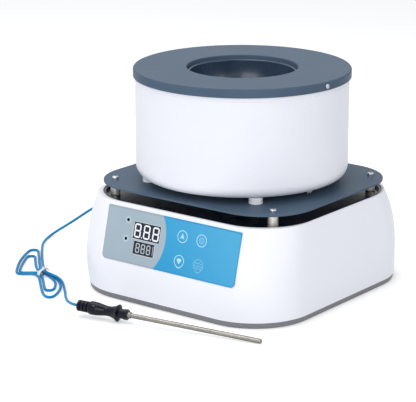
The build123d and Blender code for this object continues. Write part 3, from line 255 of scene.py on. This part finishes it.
def drift(
    tree, colour, shade, stretch=(1.0, 1.0, 1.0), slow=14.0, grain=900.0, smooth=0.3, rough=0.4,
):
    """The outputs of the drifting finish: its colour, its roughness and a fine height."""
    return add(tree, "ShaderNodeGroup", {
        "Colour": colour, "Shade": shade, "Stretch": stretch, "Drift": slow,
        "Grain": grain, "Smooth": smooth, "Rough": rough,
    }, node_tree=finish_drift).outputs


def lines(tree, across, pitch, sharpness=1.0):
    """A mask of parallel lines, counted along one direction."""
    return add(tree, "ShaderNodeGroup", {
        "Across": across, "Pitch": pitch, "Sharpness": sharpness,
    }, node_tree=ruled_lines).outputs["Mask"]


def empty_material(name):
    """A new material and its node tree with nothing in it."""
    material = bpy.data.materials.new(name)
    material.use_nodes = True
    material.node_tree.nodes.clear()
    return material, material.node_tree


def close_material(tree, colour, roughness, height, relief, depth, **surface):
    """The Principled surface of a finish: constants on its own sockets, changing values linked."""
    bump = add(tree, "ShaderNodeBump", {"Strength": relief, "Distance": depth, "Height": height})
    skin = add(tree, "ShaderNodeBsdfPrincipled", {
        "Base Color": colour, "Roughness": roughness, "Normal": bump.outputs[0], **surface,
    })
    add(tree, "ShaderNodeOutputMaterial", {"Surface": skin.outputs[0]})


def finish(name, colour, shade, relief=0.1, depth=0.0001, surface=None, **drift_values):
    """A plain finish: two shades drifting into each other, with a fine grain."""
    material, tree = empty_material(name)
    look = drift(tree, colour, shade, **drift_values)
    close_material(
        tree, look["Colour"], look["Roughness"], look["Height"], relief, depth, **(surface or {})
    )
    return material


metal = {"Metallic": 1.0}
finishes = {}


def slot_finish(name, *shades, **values):
    """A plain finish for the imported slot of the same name."""
    finishes[name] = finish(name, *shades, **values)


# ---------------------------------------------------------------- mouldings, paint and enamel
slot_finish(
    "housing_white", paint(241, 243, 250), paint(238, 240, 248),
    slow=6.0, grain=420.0, smooth=0.34, rough=0.44, relief=0.02,
    surface={"Specular IOR Level": 0.3},
)
slot_finish(
    "pot_white", paint(237, 239, 246), paint(232, 234, 243),
    slow=9.0, grain=420.0, smooth=0.34, rough=0.44, relief=0.04, depth=0.00015,
    surface={"Specular IOR Level": 0.3},
)
slot_finish(
    "slate_paint", paint(83, 101, 120), paint(75, 93, 112),
    slow=16.0, grain=700.0, smooth=0.34, rough=0.44, relief=0.08, depth=0.00015,
    surface={"Specular IOR Level": 0.04},
)
slot_finish(
    "pan_dark", paint(15, 33, 54), paint(10, 25, 43),
    slow=12.0, grain=700.0, smooth=0.22, rough=0.32, relief=0.03,
    surface={"Specular IOR Level": 0.22},
)
slot_finish(
    "bowl_enamel", paint(56, 74, 96), paint(42, 57, 76),
    slow=22.0, grain=500.0, smooth=0.2, rough=0.3, relief=0.06, depth=0.0002,
    surface={"Specular IOR Level": 0.4, "Coat Weight": 0.15, "Coat Roughness": 0.1},
)
slot_finish(
    "foot_rubber", paint(38, 39, 42), paint(28, 29, 32),
    slow=60.0, grain=1800.0, smooth=0.6, rough=0.75, relief=0.3,
)
slot_finish(
    "foot_ceramic", paint(246, 247, 250), paint(232, 234, 239),
    slow=60.0, grain=1200.0, smooth=0.18, rough=0.3, relief=0.08,
    surface={"Coat Weight": 0.4, "Coat Roughness": 0.1},
)
slot_finish(
    "bead_ceramic", paint(222, 220, 210), paint(202, 199, 188),
    slow=80.0, grain=1800.0, smooth=0.5, rough=0.65, relief=0.2,
)
slot_finish(
    "carrier_plastic", paint(58, 60, 64), paint(46, 48, 52),
    slow=40.0, grain=1500.0, smooth=0.4, rough=0.5, relief=0.15,
)
slot_finish(
    "black_plastic", paint(24, 25, 29), paint(16, 17, 20),
    slow=50.0, grain=2200.0, smooth=0.32, rough=0.45, relief=0.15,
    surface={"Specular IOR Level": 0.25},
)
slot_finish(
    "handle_navy", paint(14, 16, 38), paint(7, 8, 20),
    slow=60.0, grain=900.0, smooth=0.14, rough=0.22, relief=0.03,
    surface={"Specular IOR Level": 0.06, "Coat Weight": 0.3, "Coat Roughness": 0.05},
)
slot_finish(
    "lamp_dark", paint(10, 12, 18), paint(4, 5, 9),
    slow=300.0, grain=2500.0, smooth=0.12, rough=0.2, relief=0.03,
    surface={"Specular IOR Level": 0.1},
)
slot_finish(
    "tie_white", paint(236, 238, 240), paint(220, 224, 230),
    slow=90.0, grain=2600.0, smooth=0.3, rough=0.45, relief=0.2,
)

# ---------------------------------------------------------------- metals
slot_finish(
    "nickel", paint(232, 230, 224), paint(214, 212, 206),
    stretch=(1.0, 1.0, 8.0), slow=40.0, grain=700.0, smooth=0.42, rough=0.55, relief=0.05,
    surface={"Metallic": 0.8},
)
slot_finish(
    "zinc_steel", paint(206, 209, 214), paint(172, 176, 184),
    slow=120.0, grain=1500.0, smooth=0.22, rough=0.38, relief=0.1, surface=metal,
)
slot_finish(
    "bright_steel", paint(146, 143, 138), paint(126, 123, 118),
    slow=50.0, grain=500.0, smooth=0.24, rough=0.32, relief=0.01,
    surface={"Metallic": 1.0, "Specular Tint": (0.05, 0.05, 0.05, 1.0)},
)
slot_finish(
    "plug_metal", paint(198, 202, 208), paint(164, 168, 176),
    stretch=(0.3, 1.0, 1.0), slow=60.0, grain=1500.0, smooth=0.18, rough=0.3, relief=0.08,
    surface=metal,
)
slot_finish(
    "motor_steel", paint(176, 178, 182), paint(146, 149, 154),
    stretch=(1.0, 1.0, 0.2), slow=30.0, grain=1300.0, smooth=0.3, rough=0.42, relief=0.1,
    surface=metal,
)
slot_finish(
    "magnet", paint(150, 152, 158), paint(118, 121, 128),
    slow=70.0, grain=1300.0, smooth=0.26, rough=0.4, relief=0.1, surface=metal,
)
slot_finish(
    "sink_aluminium", paint(196, 199, 204), paint(168, 172, 178),
    stretch=(1.0, 1.0, 0.1), slow=40.0, grain=1600.0, smooth=0.34, rough=0.46, relief=0.12,
    surface=metal,
)
slot_finish(
    "brass_blade", paint(214, 182, 108), paint(186, 152, 82),
    stretch=(1.0, 0.2, 1.0), slow=50.0, grain=1500.0, smooth=0.22, rough=0.34, relief=0.08,
    surface=metal,
)

# ---------------------------------------------------------------- cord sheath and fuse glass
slot_finish(
    "cord_blue", paint(0, 140, 196), paint(0, 114, 168),
    slow=55.0, grain=700.0, smooth=0.34, rough=0.46, relief=0.06,
    surface={"Specular IOR Level": 0.16},
)
slot_finish(
    "fuse_glass", paint(232, 240, 240), paint(214, 226, 228),
    slow=120.0, grain=900.0, smooth=0.04, rough=0.1, relief=0.02, depth=0.00005,
    surface={"Transmission Weight": 0.85, "IOR": 1.47},
)


# ---------------------------------------------------------------- patterned finishes
def board_material():
    """Green solder mask with copper runs under it."""
    material, tree = empty_material("board_green")
    look = drift(
        tree, paint(34, 104, 66), paint(26, 86, 54),
        slow=60.0, grain=1400.0, smooth=0.28, rough=0.4,
    )
    runs = lines(tree, (1.0, 0.0, 0.0), 0.0032, 6.0)
    cross = lines(tree, (0.0, 1.0, 0.0), 0.0047, 8.0)
    tracks = reckon(tree, "MAXIMUM", runs, cross)
    share = reckon(tree, "MULTIPLY", tracks, 0.45)
    colour = blend_colour(tree, share, look["Colour"], paint(92, 158, 92))
    close_material(tree, colour, look["Roughness"], tracks, 0.25, 0.0001)
    return material


def wound_material(name, colour, shade, across, pitch, depth):
    """Wire, tape or cord laid turn beside turn."""
    material, tree = empty_material(name)
    look = drift(tree, colour, shade, slow=40.0, grain=900.0, smooth=0.6, rough=0.8)
    turns = lines(tree, across, pitch)
    laid = blend_colour(tree, reckon(tree, "MULTIPLY", turns, 0.6), shade, look["Colour"])
    close_material(tree, laid, look["Roughness"], turns, 0.5, depth)
    return material


finishes["board_green"] = board_material()
finishes["transformer_yellow"] = wound_material(
    "transformer_yellow", paint(222, 184, 70), paint(182, 142, 46), (0.0, 0.0, 1.0), 0.0016, 0.0003
)
finishes["winding_cloth"] = wound_material(
    "winding_cloth", paint(226, 222, 210), paint(190, 184, 170), (0.0, 0.0, 1.0), 0.0034, 0.0006
)


def wool_material():
    """Packed mineral wool: long soft fibres over a cloudy ground."""
    material, tree = empty_material("jacket_wool")
    look = drift(
        tree, paint(226, 224, 216), paint(196, 192, 180),
        slow=45.0, grain=600.0, smooth=0.8, rough=0.95,
    )
    fibres = drift(
        tree, paint(255, 255, 255), paint(0, 0, 0), stretch=(1.0, 1.0, 6.0), slow=90.0, grain=500.0
    )
    colour = blend_colour(tree, 0.25, look["Colour"], fibres["Colour"])
    close_material(
        tree, colour, look["Roughness"], fibres["Height"], 0.7, 0.0012, **{"Sheen Weight": 0.2}
    )
    return material


finishes["jacket_wool"] = wool_material()


def tray_material():
    """Grey moulded tray with faint slanting tool lines."""
    material, tree = empty_material("tray_grey")
    look = drift(
        tree, paint(120, 122, 127), paint(108, 111, 117),
        slow=18.0, grain=1300.0, smooth=0.4, rough=0.52,
    )
    streaks = lines(tree, (0.62, -0.35, 0.7), 0.0034)
    share = reckon(tree, "MULTIPLY", streaks, 0.22)
    colour = blend_colour(tree, share, look["Colour"], paint(146, 148, 151))
    close_material(tree, colour, look["Roughness"], streaks, 0.08, 0.0001)
    return material


finishes["tray_grey"] = tray_material()

# ---------------------------------------------------------------- leaning panel
# Panel coordinates: x to the right, v up the slope, h out of the face, all in metres.
panel_lean = radians(14.0)
panel_up = Vector((0.0, sin(panel_lean), cos(panel_lean)))
panel_out = Vector((0.0, -cos(panel_lean), sin(panel_lean)))
film_low, film_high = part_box("panel_film")
film_thickness = 0.0005
film_middle = (film_low + film_high) / 2
panel_origin = Vector((0.0, film_middle.y, film_middle.z)) - panel_out * (film_thickness / 2)
panel_frame = Matrix.Translation(panel_origin) @ Matrix((
    (1.0, 0.0, 0.0, 0.0),
    (0.0, panel_up.y, panel_out.y, 0.0),
    (0.0, panel_up.z, panel_out.z, 0.0),
    (0.0, 0.0, 0.0, 1.0),
))
film_centre = (0.003, 0.0)
film_half = ((film_high.x - film_low.x) / 2, 0.0265)
arc_centre = (-0.050, 0.003)
arc_radius = 0.0465
upper_display = ((-0.0280, 0.0070), (0.0165, 0.0082))
lower_display = ((-0.0289, -0.0100), (0.0129, 0.0062))
lamp_places = [(-0.053, 0.0157), (-0.053, -0.0032)]
film_corner, window_corner = 0.003, 0.0006
arc_blur = 0.0001
outline_outer, outline_inner = 0.0012, 0.0004
halo_outer, halo_inner = 0.0042, 0.0022
rim_inner, rim_outer = -0.0011, -0.0005


def panel_place(tree):
    """The panel coordinates of the surface: x, v and the point (x, v, 0)."""
    spot = add(tree, "ShaderNodeTexCoord").outputs["Object"]
    from_origin = aim(tree, "SUBTRACT", spot, tuple(panel_origin)).outputs[0]
    x = aim(tree, "DOT_PRODUCT", from_origin, (1.0, 0.0, 0.0)).outputs[1]
    v = aim(tree, "DOT_PRODUCT", from_origin, tuple(panel_up)).outputs[1]
    flat = add(tree, "ShaderNodeCombineXYZ", {"X": x, "Y": v}).outputs[0]
    return x, v, flat


def window_distance(tree, flat, centre, half, corner):
    """How far the surface is outside a round-cornered window; below zero inside it."""
    from_centre = aim(tree, "SUBTRACT", flat, (*centre, 0.0)).outputs[0]
    offset = aim(tree, "ABSOLUTE", from_centre).outputs[0]
    past = aim(tree, "SUBTRACT", offset, (half[0] - corner, half[1] - corner, 0.0)).outputs[0]
    outer = aim(tree, "LENGTH", aim(tree, "MAXIMUM", past).outputs[0]).outputs[1]
    parts = add(tree, "ShaderNodeSeparateXYZ", {0: past}).outputs
    inner = reckon(tree, "MINIMUM", reckon(tree, "MAXIMUM", parts[0], parts[1]), 0.0)
    return reckon(tree, "SUBTRACT", reckon(tree, "ADD", outer, inner), corner)


def film_material():
    """Printed panel film: silver and blue fields either side of an arc, outlines, lamp halos, with
    painted shade across both fields.
    """
    material, tree = empty_material("film_blue")
    x, v, flat = panel_place(tree)
    silver = drift(
        tree, paint(166, 182, 194), paint(158, 175, 187),
        slow=18.0, grain=2200.0, smooth=0.3, rough=0.4,
    )
    # Painted shade and light: both fields darken towards the lower left and lighten towards the
    # upper right. The darker silver and the darker blue are the painted shade, and the lighter
    # blue is painted light.
    slanted = reckon(tree, "ADD", x, reckon(tree, "MULTIPLY", v, 0.6))
    silver_painted_shade = ramp_between(tree, slanted, -0.09, -0.01)
    silver_in_painted_shade = blend_colour(tree, 0.45, silver["Colour"], paint(158, 176, 188))
    silver_field = blend_colour(tree, silver_painted_shade, silver_in_painted_shade, silver["Colour"])
    blue_painted_shading = ramp_between(tree, reckon(tree, "ADD", x, v), -0.02, 0.09)
    blue_field = blend_colour(tree, blue_painted_shading, paint(44, 154, 206), paint(76, 168, 212))
    to_arc = aim(tree, "DISTANCE", flat, (*arc_centre, 0.0)).outputs[1]
    beyond_arc = ramp_between(tree, to_arc, arc_radius - arc_blur, arc_radius + arc_blur)
    colour = blend_colour(tree, beyond_arc, silver_field, blue_field)
    for centre, half in (upper_display, lower_display):
        edge = window_distance(tree, flat, centre, half, window_corner)
        outline = ramp_between(tree, edge, outline_outer, outline_inner)
        share = reckon(tree, "MULTIPLY", outline, 0.6)
        colour = blend_colour(tree, share, colour, paint(222, 230, 238))
    for lamp in lamp_places:
        to_lamp = aim(tree, "DISTANCE", flat, (*lamp, 0.0)).outputs[1]
        halo = ramp_between(tree, to_lamp, halo_outer, halo_inner)
        share = reckon(tree, "MULTIPLY", halo, 0.7)
        colour = blend_colour(tree, share, colour, paint(196, 222, 234))
    edge = window_distance(tree, flat, film_centre, film_half, film_corner)
    rim = ramp_between(tree, edge, rim_inner, rim_outer)
    rim_colour = blend_colour(tree, beyond_arc, paint(150, 160, 170), paint(40, 140, 196))
    colour = blend_colour(tree, reckon(tree, "MULTIPLY", rim, 0.75), colour, rim_colour)
    close_material(
        tree, colour, silver["Roughness"], silver["Height"], 0.04, 0.00005,
        **{"Specular IOR Level": 0.3},
    )
    return material


def display_material():
    """Smoked window with a faint slanting pattern behind it."""
    material, tree = empty_material("display_dark")
    look = drift(
        tree, paint(38, 44, 58), paint(28, 33, 45),
        slow=60.0, grain=2500.0, smooth=0.14, rough=0.24,
    )
    hatch = lines(tree, (0.8, panel_up.y * 0.6, panel_up.z * 0.6), 0.0011, 2.0)
    share = reckon(tree, "MULTIPLY", hatch, 0.35)
    colour = blend_colour(tree, share, look["Colour"], paint(84, 94, 110))
    close_material(
        tree, colour, look["Roughness"], look["Height"], 0.03, 0.00005,
        **{"Specular IOR Level": 0.12},
    )
    return material


finishes["film_blue"] = film_material()
finishes["display_dark"] = display_material()

for slot_name, material in finishes.items():
    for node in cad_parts.values():
        for slot in node.material_slots:
            if slot.material and slot.material.name.split(".")[0] == slot_name:
                slot.material = material

digit_white = finish(
    "digit_white", paint(246, 247, 252), paint(236, 239, 247),
    slow=200.0, grain=2500.0, smooth=0.4, rough=0.5, relief=0.03,
)
digit_grey = finish(
    "digit_grey", paint(196, 203, 210), paint(178, 186, 195),
    slow=200.0, grain=2500.0, smooth=0.4, rough=0.5, relief=0.03,
)
mark_pale = finish(
    "mark_pale", paint(186, 226, 245), paint(168, 216, 240),
    slow=150.0, grain=2500.0, smooth=0.35, rough=0.45, relief=0.03,
)
mark_faint = finish(
    "mark_faint", paint(134, 200, 232), paint(118, 190, 226),
    slow=150.0, grain=2500.0, smooth=0.35, rough=0.45, relief=0.03,
)
switch_mark = finish(
    "switch_mark", paint(232, 234, 236), paint(214, 217, 221),
    slow=200.0, grain=2500.0, smooth=0.4, rough=0.55, relief=0.03,
)


# ---------------------------------------------------------------- piece helpers
def piece_from(bm, name, material, place=None):
    """Closes a bmesh into an object whose place is in its mesh."""
    if place is not None:
        bmesh.ops.transform(bm, matrix=place, verts=bm.verts)
    bmesh.ops.recalc_face_normals(bm, faces=bm.faces)
    mesh = bpy.data.meshes.new(name)
    bm.to_mesh(mesh)
    bm.free()
    piece = bpy.data.objects.new(name, mesh)
    scene.collection.objects.link(piece)
    mesh.materials.append(material)
    return piece


def edges_along(bm, made, axis):
    """The edges between the given vertices that run along one axis."""
    def runs(edge):
        span = edge.verts[0].co - edge.verts[1].co
        return all(abs(span[other]) < 1e-7 for other in range(3) if other != axis)
    inner = [edge for edge in bm.edges if all(vert in made for vert in edge.verts)]
    return [edge for edge in inner if runs(edge)]


def faces_between(bm, verts):
    """The faces whose corners are all among the given vertices, in the mesh's own order."""
    corners = set(verts)
    return [face for face in bm.faces if all(vert in corners for vert in face.verts)]


def thicken(bm, faces, rise):
    """Raises flat faces into a thin slab and returns the vertices of its top."""
    raised = bmesh.ops.extrude_face_region(bm, geom=faces)["geom"]
    top = [part for part in raised if isinstance(part, bmesh.types.BMVert)]
    bmesh.ops.translate(bm, vec=(0.0, 0.0, rise), verts=top)
    return top


def block(bm, middle, size, chamfer=0.0, axis=2, segments=1):
    """A block with the edges along one axis rounded or chamfered."""
    made = bmesh.ops.create_cube(bm, size=1.0)["verts"]
    bmesh.ops.scale(bm, vec=size, verts=made)
    bmesh.ops.translate(bm, vec=middle, verts=made)
    if chamfer:
        bmesh.ops.bevel(
            bm, geom=edges_along(bm, set(made), axis), offset=chamfer, affect="EDGES",
            segments=segments, profile=0.5, material=-1,
        )


def flat_ring(bm, centre, radius, line, rise, base, point_down=0.0):
    """A flat ring standing a little off a face, drawn to a point at its lowest side."""
    rim = bmesh.ops.create_circle(bm, cap_ends=True, radius=radius, segments=48)["verts"]
    disc = rim[0].link_faces[0]
    band = bmesh.ops.inset_region(
        bm, faces=[disc], thickness=line, use_boundary=True, use_even_offset=True
    )["faces"]
    bmesh.ops.delete(bm, geom=[disc], context="FACES_ONLY")
    verts = list(dict.fromkeys(vert for face in band for vert in face.verts))
    for vert in verts:
        low = max(0.0, -vert.co.y / radius)
        vert.co.y *= 1.0 + point_down * low ** 3
        vert.co.x *= 1.0 - point_down * low ** 2
    bmesh.ops.translate(bm, vec=(*centre, base), verts=verts)
    thicken(bm, band, rise)


def flat_mark(bm, centre, corners, rise, base):
    """A small flat mark with the given few corners."""
    outline = [bm.verts.new((centre[0] + x, centre[1] + v, base)) for x, v in corners]
    thicken(bm, [bm.faces.new(outline)], rise)


# ---------------------------------------------------------------- display digits
display_face = 0.0004
digit_rise = 0.00008
digit_level = display_face + digit_rise / 2
digit_count = 3


def digits(bm, display, first, pitch, width, height, stroke, points=0):
    """Seven-segment eights, every segment lit, with a point after the first ones."""
    centre, half = display
    middle_v = centre[1]
    tip = stroke * 0.45
    for place in range(digit_count):
        x = centre[0] - half[0] + first + width / 2 + place * pitch
        reach_x = width / 2 - stroke / 2
        reach_v = height / 2 - stroke / 2
        for v in (-reach_v, 0.0, reach_v):
            size = (width - stroke * 1.15, stroke, digit_rise)
            block(bm, (x, middle_v + v, digit_level), size, tip)
        for side in (-reach_x, reach_x):
            for v in (-reach_v / 2, reach_v / 2):
                size = (stroke, reach_v - stroke * 0.15, digit_rise)
                block(bm, (x + side, middle_v + v, digit_level), size, tip)
        if place < points:
            spot = (x + width / 2 + (pitch - width) / 2, middle_v - reach_v, digit_level)
            block(bm, spot, (stroke * 0.75, stroke * 0.75, digit_rise), stroke * 0.25, segments=3)


bm = bmesh.new()
digits(
    bm, upper_display,
    first=0.0009, pitch=0.0115, width=0.0083, height=0.0142, stroke=0.0016, points=2,
)
temperature_digits = piece_from(bm, "temperature_digits", digit_white, panel_frame)

bm = bmesh.new()
digits(
    bm, lower_display, first=0.0025, pitch=0.0069, width=0.0049, height=0.0095, stroke=0.0010,
)
# a single upright stroke at the right end of the lower display
stroke_inset = 0.0016
right_end = lower_display[0][0] + lower_display[1][0]
block(
    bm, (right_end - stroke_inset, lower_display[0][1], digit_level),
    (0.0006, 0.0094, digit_rise), 0.0002,
)
speed_digits = piece_from(bm, "speed_digits", digit_grey, panel_frame)

# ---------------------------------------------------------------- key marks printed on the film
key_middle = (0.0282, -0.0013)
key_step = (0.0118, 0.0122)
key_ring = 0.0062
key_line = 0.0010
bold_line = key_line * 0.8
print_rise = 0.00006


def key_place(column, row):
    """The middle of a key, counted from the middle of the four."""
    return (key_middle[0] + column * key_step[0], key_middle[1] + row * key_step[1])


def key_circle(bm, key, radius, line, point_down=0.0):
    """A ring printed on the film round the middle of a key."""
    flat_ring(bm, key, radius, line, print_rise, film_thickness, point_down)


up_key, down_key = key_place(-1, 1), key_place(-1, -1)
stir_key, run_key = key_place(1, 1), key_place(1, -1)
up_arrow = [(0.0, 0.0034), (-0.0028, -0.0026), (0.0, -0.0014), (0.0028, -0.0026)]
down_arrow = [
    (0.0, -0.0030), (0.0030, 0.0010), (0.0018, 0.0026), (-0.0018, 0.0026), (-0.0030, 0.0010),
]
# each wave: its height above the middle of the key and its half length
waves = ((0.0020, 0.0044), (-0.0006, 0.0052), (-0.0030, 0.0044))
wave_swing = 0.0007

bm = bmesh.new()
key_circle(bm, up_key, key_ring, bold_line)
flat_mark(bm, up_key, up_arrow, print_rise, film_thickness)
key_circle(bm, down_key, key_ring, bold_line, point_down=0.14)
flat_mark(bm, down_key, down_arrow, print_rise, film_thickness)
key_circle(bm, stir_key, key_ring, bold_line)
step_marks = piece_from(bm, "step_key_marks", mark_pale, panel_frame)

bm = bmesh.new()
key_circle(bm, stir_key, key_ring * 0.52, bold_line)
key_circle(bm, stir_key, key_ring * 0.26, key_line * 0.6)
key_circle(bm, run_key, key_ring, key_line * 0.55, point_down=0.2)
for row, reach in waves:
    made = bmesh.ops.create_grid(bm, x_segments=16, y_segments=1, size=1.0)["verts"]
    bmesh.ops.scale(bm, vec=(reach, key_line * 0.35, 1.0), verts=made)
    for vert in made:
        vert.co.y += wave_swing * sin(vert.co.x / reach * 2 * pi) + row
    bmesh.ops.translate(bm, vec=(*run_key, film_thickness), verts=made)
    thicken(bm, faces_between(bm, made), print_rise)
mode_marks = piece_from(bm, "mode_key_marks", mark_faint, panel_frame)

for piece, slot_name in (
    (temperature_digits, "display_dark"), (speed_digits, "display_dark"),
    (step_marks, "film_blue"), (mode_marks, "film_blue"),
):
    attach(piece, "mantle")

# ---------------------------------------------------------------- marks on the power rocker
rocker_lean = radians(9.0)
rocker_pivot = (-0.030, 0.1305, 0.037)
rocker_frame = Matrix.Translation(rocker_pivot) @ Matrix((
    (-1.0, 0.0, 0.0, 0.0),
    (0.0, sin(rocker_lean), cos(rocker_lean), 0.0),
    (0.0, cos(rocker_lean), -sin(rocker_lean), 0.0),
    (0.0, 0.0, 0.0, 1.0),
))
rocker_face = 0.00290
mark_reach = 0.0050
bm = bmesh.new()
block(bm, (0.0, mark_reach, rocker_face + 0.00005), (0.0007, 0.0036, 0.00014), 0.0002)
flat_ring(bm, (0.0, -mark_reach), 0.0018, 0.0006, 0.00012, rocker_face)
rocker_marks = piece_from(bm, "rocker_marks", switch_mark, rocker_frame)
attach(rocker_marks, "rocker")

# ---------------------------------------------------------------- tie round the folded cord
tie_place = (-0.171, -0.118, 0.0)
along_x, along_y = 0.943, 0.334
tie_frame = Matrix.Translation(tie_place) @ Matrix((
    (along_x, -along_y, 0.0, 0.0),
    (along_y, along_x, 0.0, 0.0),
    (0.0, 0.0, 1.0, 0.0),
    (0.0, 0.0, 0.0, 1.0),
))
tie_width, tie_sheet = 0.0030, 0.0004
tie_half, tie_height = 0.0088, 0.0064
bm = bmesh.new()
block(
    bm, (0.0, 0.0, tie_height / 2), (tie_width, 2 * tie_half, tie_height),
    chamfer=0.0026, axis=0, segments=6,
)
ends = [face for face in bm.faces if abs(face.normal.x) > 0.9]
bmesh.ops.delete(bm, geom=ends, context="FACES_ONLY")
bmesh.ops.recalc_face_normals(bm, faces=bm.faces)
bmesh.ops.solidify(bm, geom=list(bm.faces), thickness=tie_sheet)


def twisted_end(bm, start, turn, rise, length, twists):
    """A loose end of the tie: a narrow strip, twisted along its length and lying outwards."""
    made = bmesh.ops.create_grid(bm, x_segments=15, y_segments=1, size=0.5)["verts"]
    bmesh.ops.scale(bm, vec=(length, tie_width * 0.55, 1.0), verts=made)
    bmesh.ops.translate(bm, vec=(0.0, 0.0, -tie_sheet * 0.8), verts=made)
    made = made + thicken(bm, faces_between(bm, made), tie_sheet * 1.6)
    for vert in made:
        along = vert.co.x / length + 0.5
        vert.co = Matrix.Rotation(twists * 2 * pi * along, 3, "X") @ vert.co
        vert.co.z += rise * along ** 2
    outwards = Matrix.Rotation(turn, 4, "Z") @ Matrix.Translation((length / 2, 0.0, 0.0))
    bmesh.ops.transform(bm, matrix=Matrix.Translation(start) @ outwards, verts=made)


twisted_end(bm, (0.0, 0.0050, 0.0066), radians(118.0), -0.0018, 0.009, 0.6)
twisted_end(bm, (0.0008, 0.0072, 0.0058), radians(84.0), -0.0042, 0.007, 0.5)
tie_wrap = piece_from(bm, "cord_tie_wrap", finishes["tie_white"], tie_frame)
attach(tie_wrap, "mantle")
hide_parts("cord_tie")

# ---------------------------------------------------------------- cord finish and body
cord_curve.materials.append(finishes["cord_blue"])
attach(cord_piece, "mantle")
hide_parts("probe_cord", "cord_hank", "probe_cord_tail")

# ---------------------------------------------------------------- floor
floor_radius, floor_drop = 8.0, 0.0002
floor_glow = 0.36
bm = bmesh.new()
bmesh.ops.create_circle(bm, cap_ends=True, radius=floor_radius, segments=96)
bmesh.ops.translate(bm, vec=(0.0, 0.0, -floor_drop), verts=bm.verts)
material, tree = empty_material("studio_floor")
look = drift(
    tree, paint(236, 236, 236), paint(233, 233, 234), slow=0.6, grain=40.0, smooth=0.7, rough=0.8
)
matt = add(tree, "ShaderNodeBsdfDiffuse", {"Color": look["Colour"]})
glow = add(tree, "ShaderNodeEmission", {"Color": (1.0, 1.0, 1.0, 1.0), "Strength": floor_glow})
lit = add(tree, "ShaderNodeAddShader", {0: matt.outputs[0], 1: glow.outputs[0]})
skin = add(tree, "ShaderNodeMixShader", {
    0: seen_directly(tree), 1: matt.outputs[0], 2: lit.outputs[0],
})
add(tree, "ShaderNodeOutputMaterial", {"Surface": skin.outputs[0]})
floor = piece_from(bm, "studio_floor", material)

# ---------------------------------------------------------------- studio light
fill_strength = 0.52
world = bpy.data.worlds.new("studio")
scene.world = world
world.use_nodes = True
tree = world.node_tree
tree.nodes.clear()
fill = add(tree, "ShaderNodeBackground", {
    "Color": (0.97, 0.98, 1.0, 1.0), "Strength": fill_strength,
})
white = add(tree, "ShaderNodeBackground", {"Color": (1.0, 1.0, 1.0, 1.0), "Strength": 1.0})
both = add(tree, "ShaderNodeMixShader", {
    0: seen_directly(tree), 1: fill.outputs[0], 2: white.outputs[0],
})
add(tree, "ShaderNodeOutputWorld", {"Surface": both.outputs[0]})


def softbox(name, place, target, size, power):
    """A rectangular area light that looks at a target."""
    lamp_data = bpy.data.lights.new(name, "AREA")
    lamp_data.shape = "RECTANGLE"
    lamp_data.size, lamp_data.size_y = size
    lamp_data.energy = power
    lamp = bpy.data.objects.new(name, lamp_data)
    lamp.location = place
    lamp.rotation_euler = (Vector(target) - Vector(place)).to_track_quat("-Z", "Y").to_euler()
    scene.collection.objects.link(lamp)


softbox("top_softbox", (-0.5, 0.1, 1.9), (0.0, 0.0, 0.1), (1.4, 1.4), 14.0)
softbox("front_softbox", (0.6, -1.85, 0.7), (0.0, 0.0, 0.10), (1.3, 1.1), 14.5)
softbox("right_softbox", (1.9, 0.1, 0.9), (0.0, 0.0, 0.12), (0.9, 0.9), 5.5)
softbox("edge_light", (-0.35, -1.15, 1.55), (0.0, -0.1, 0.05), (0.24, 0.12), 3.4)
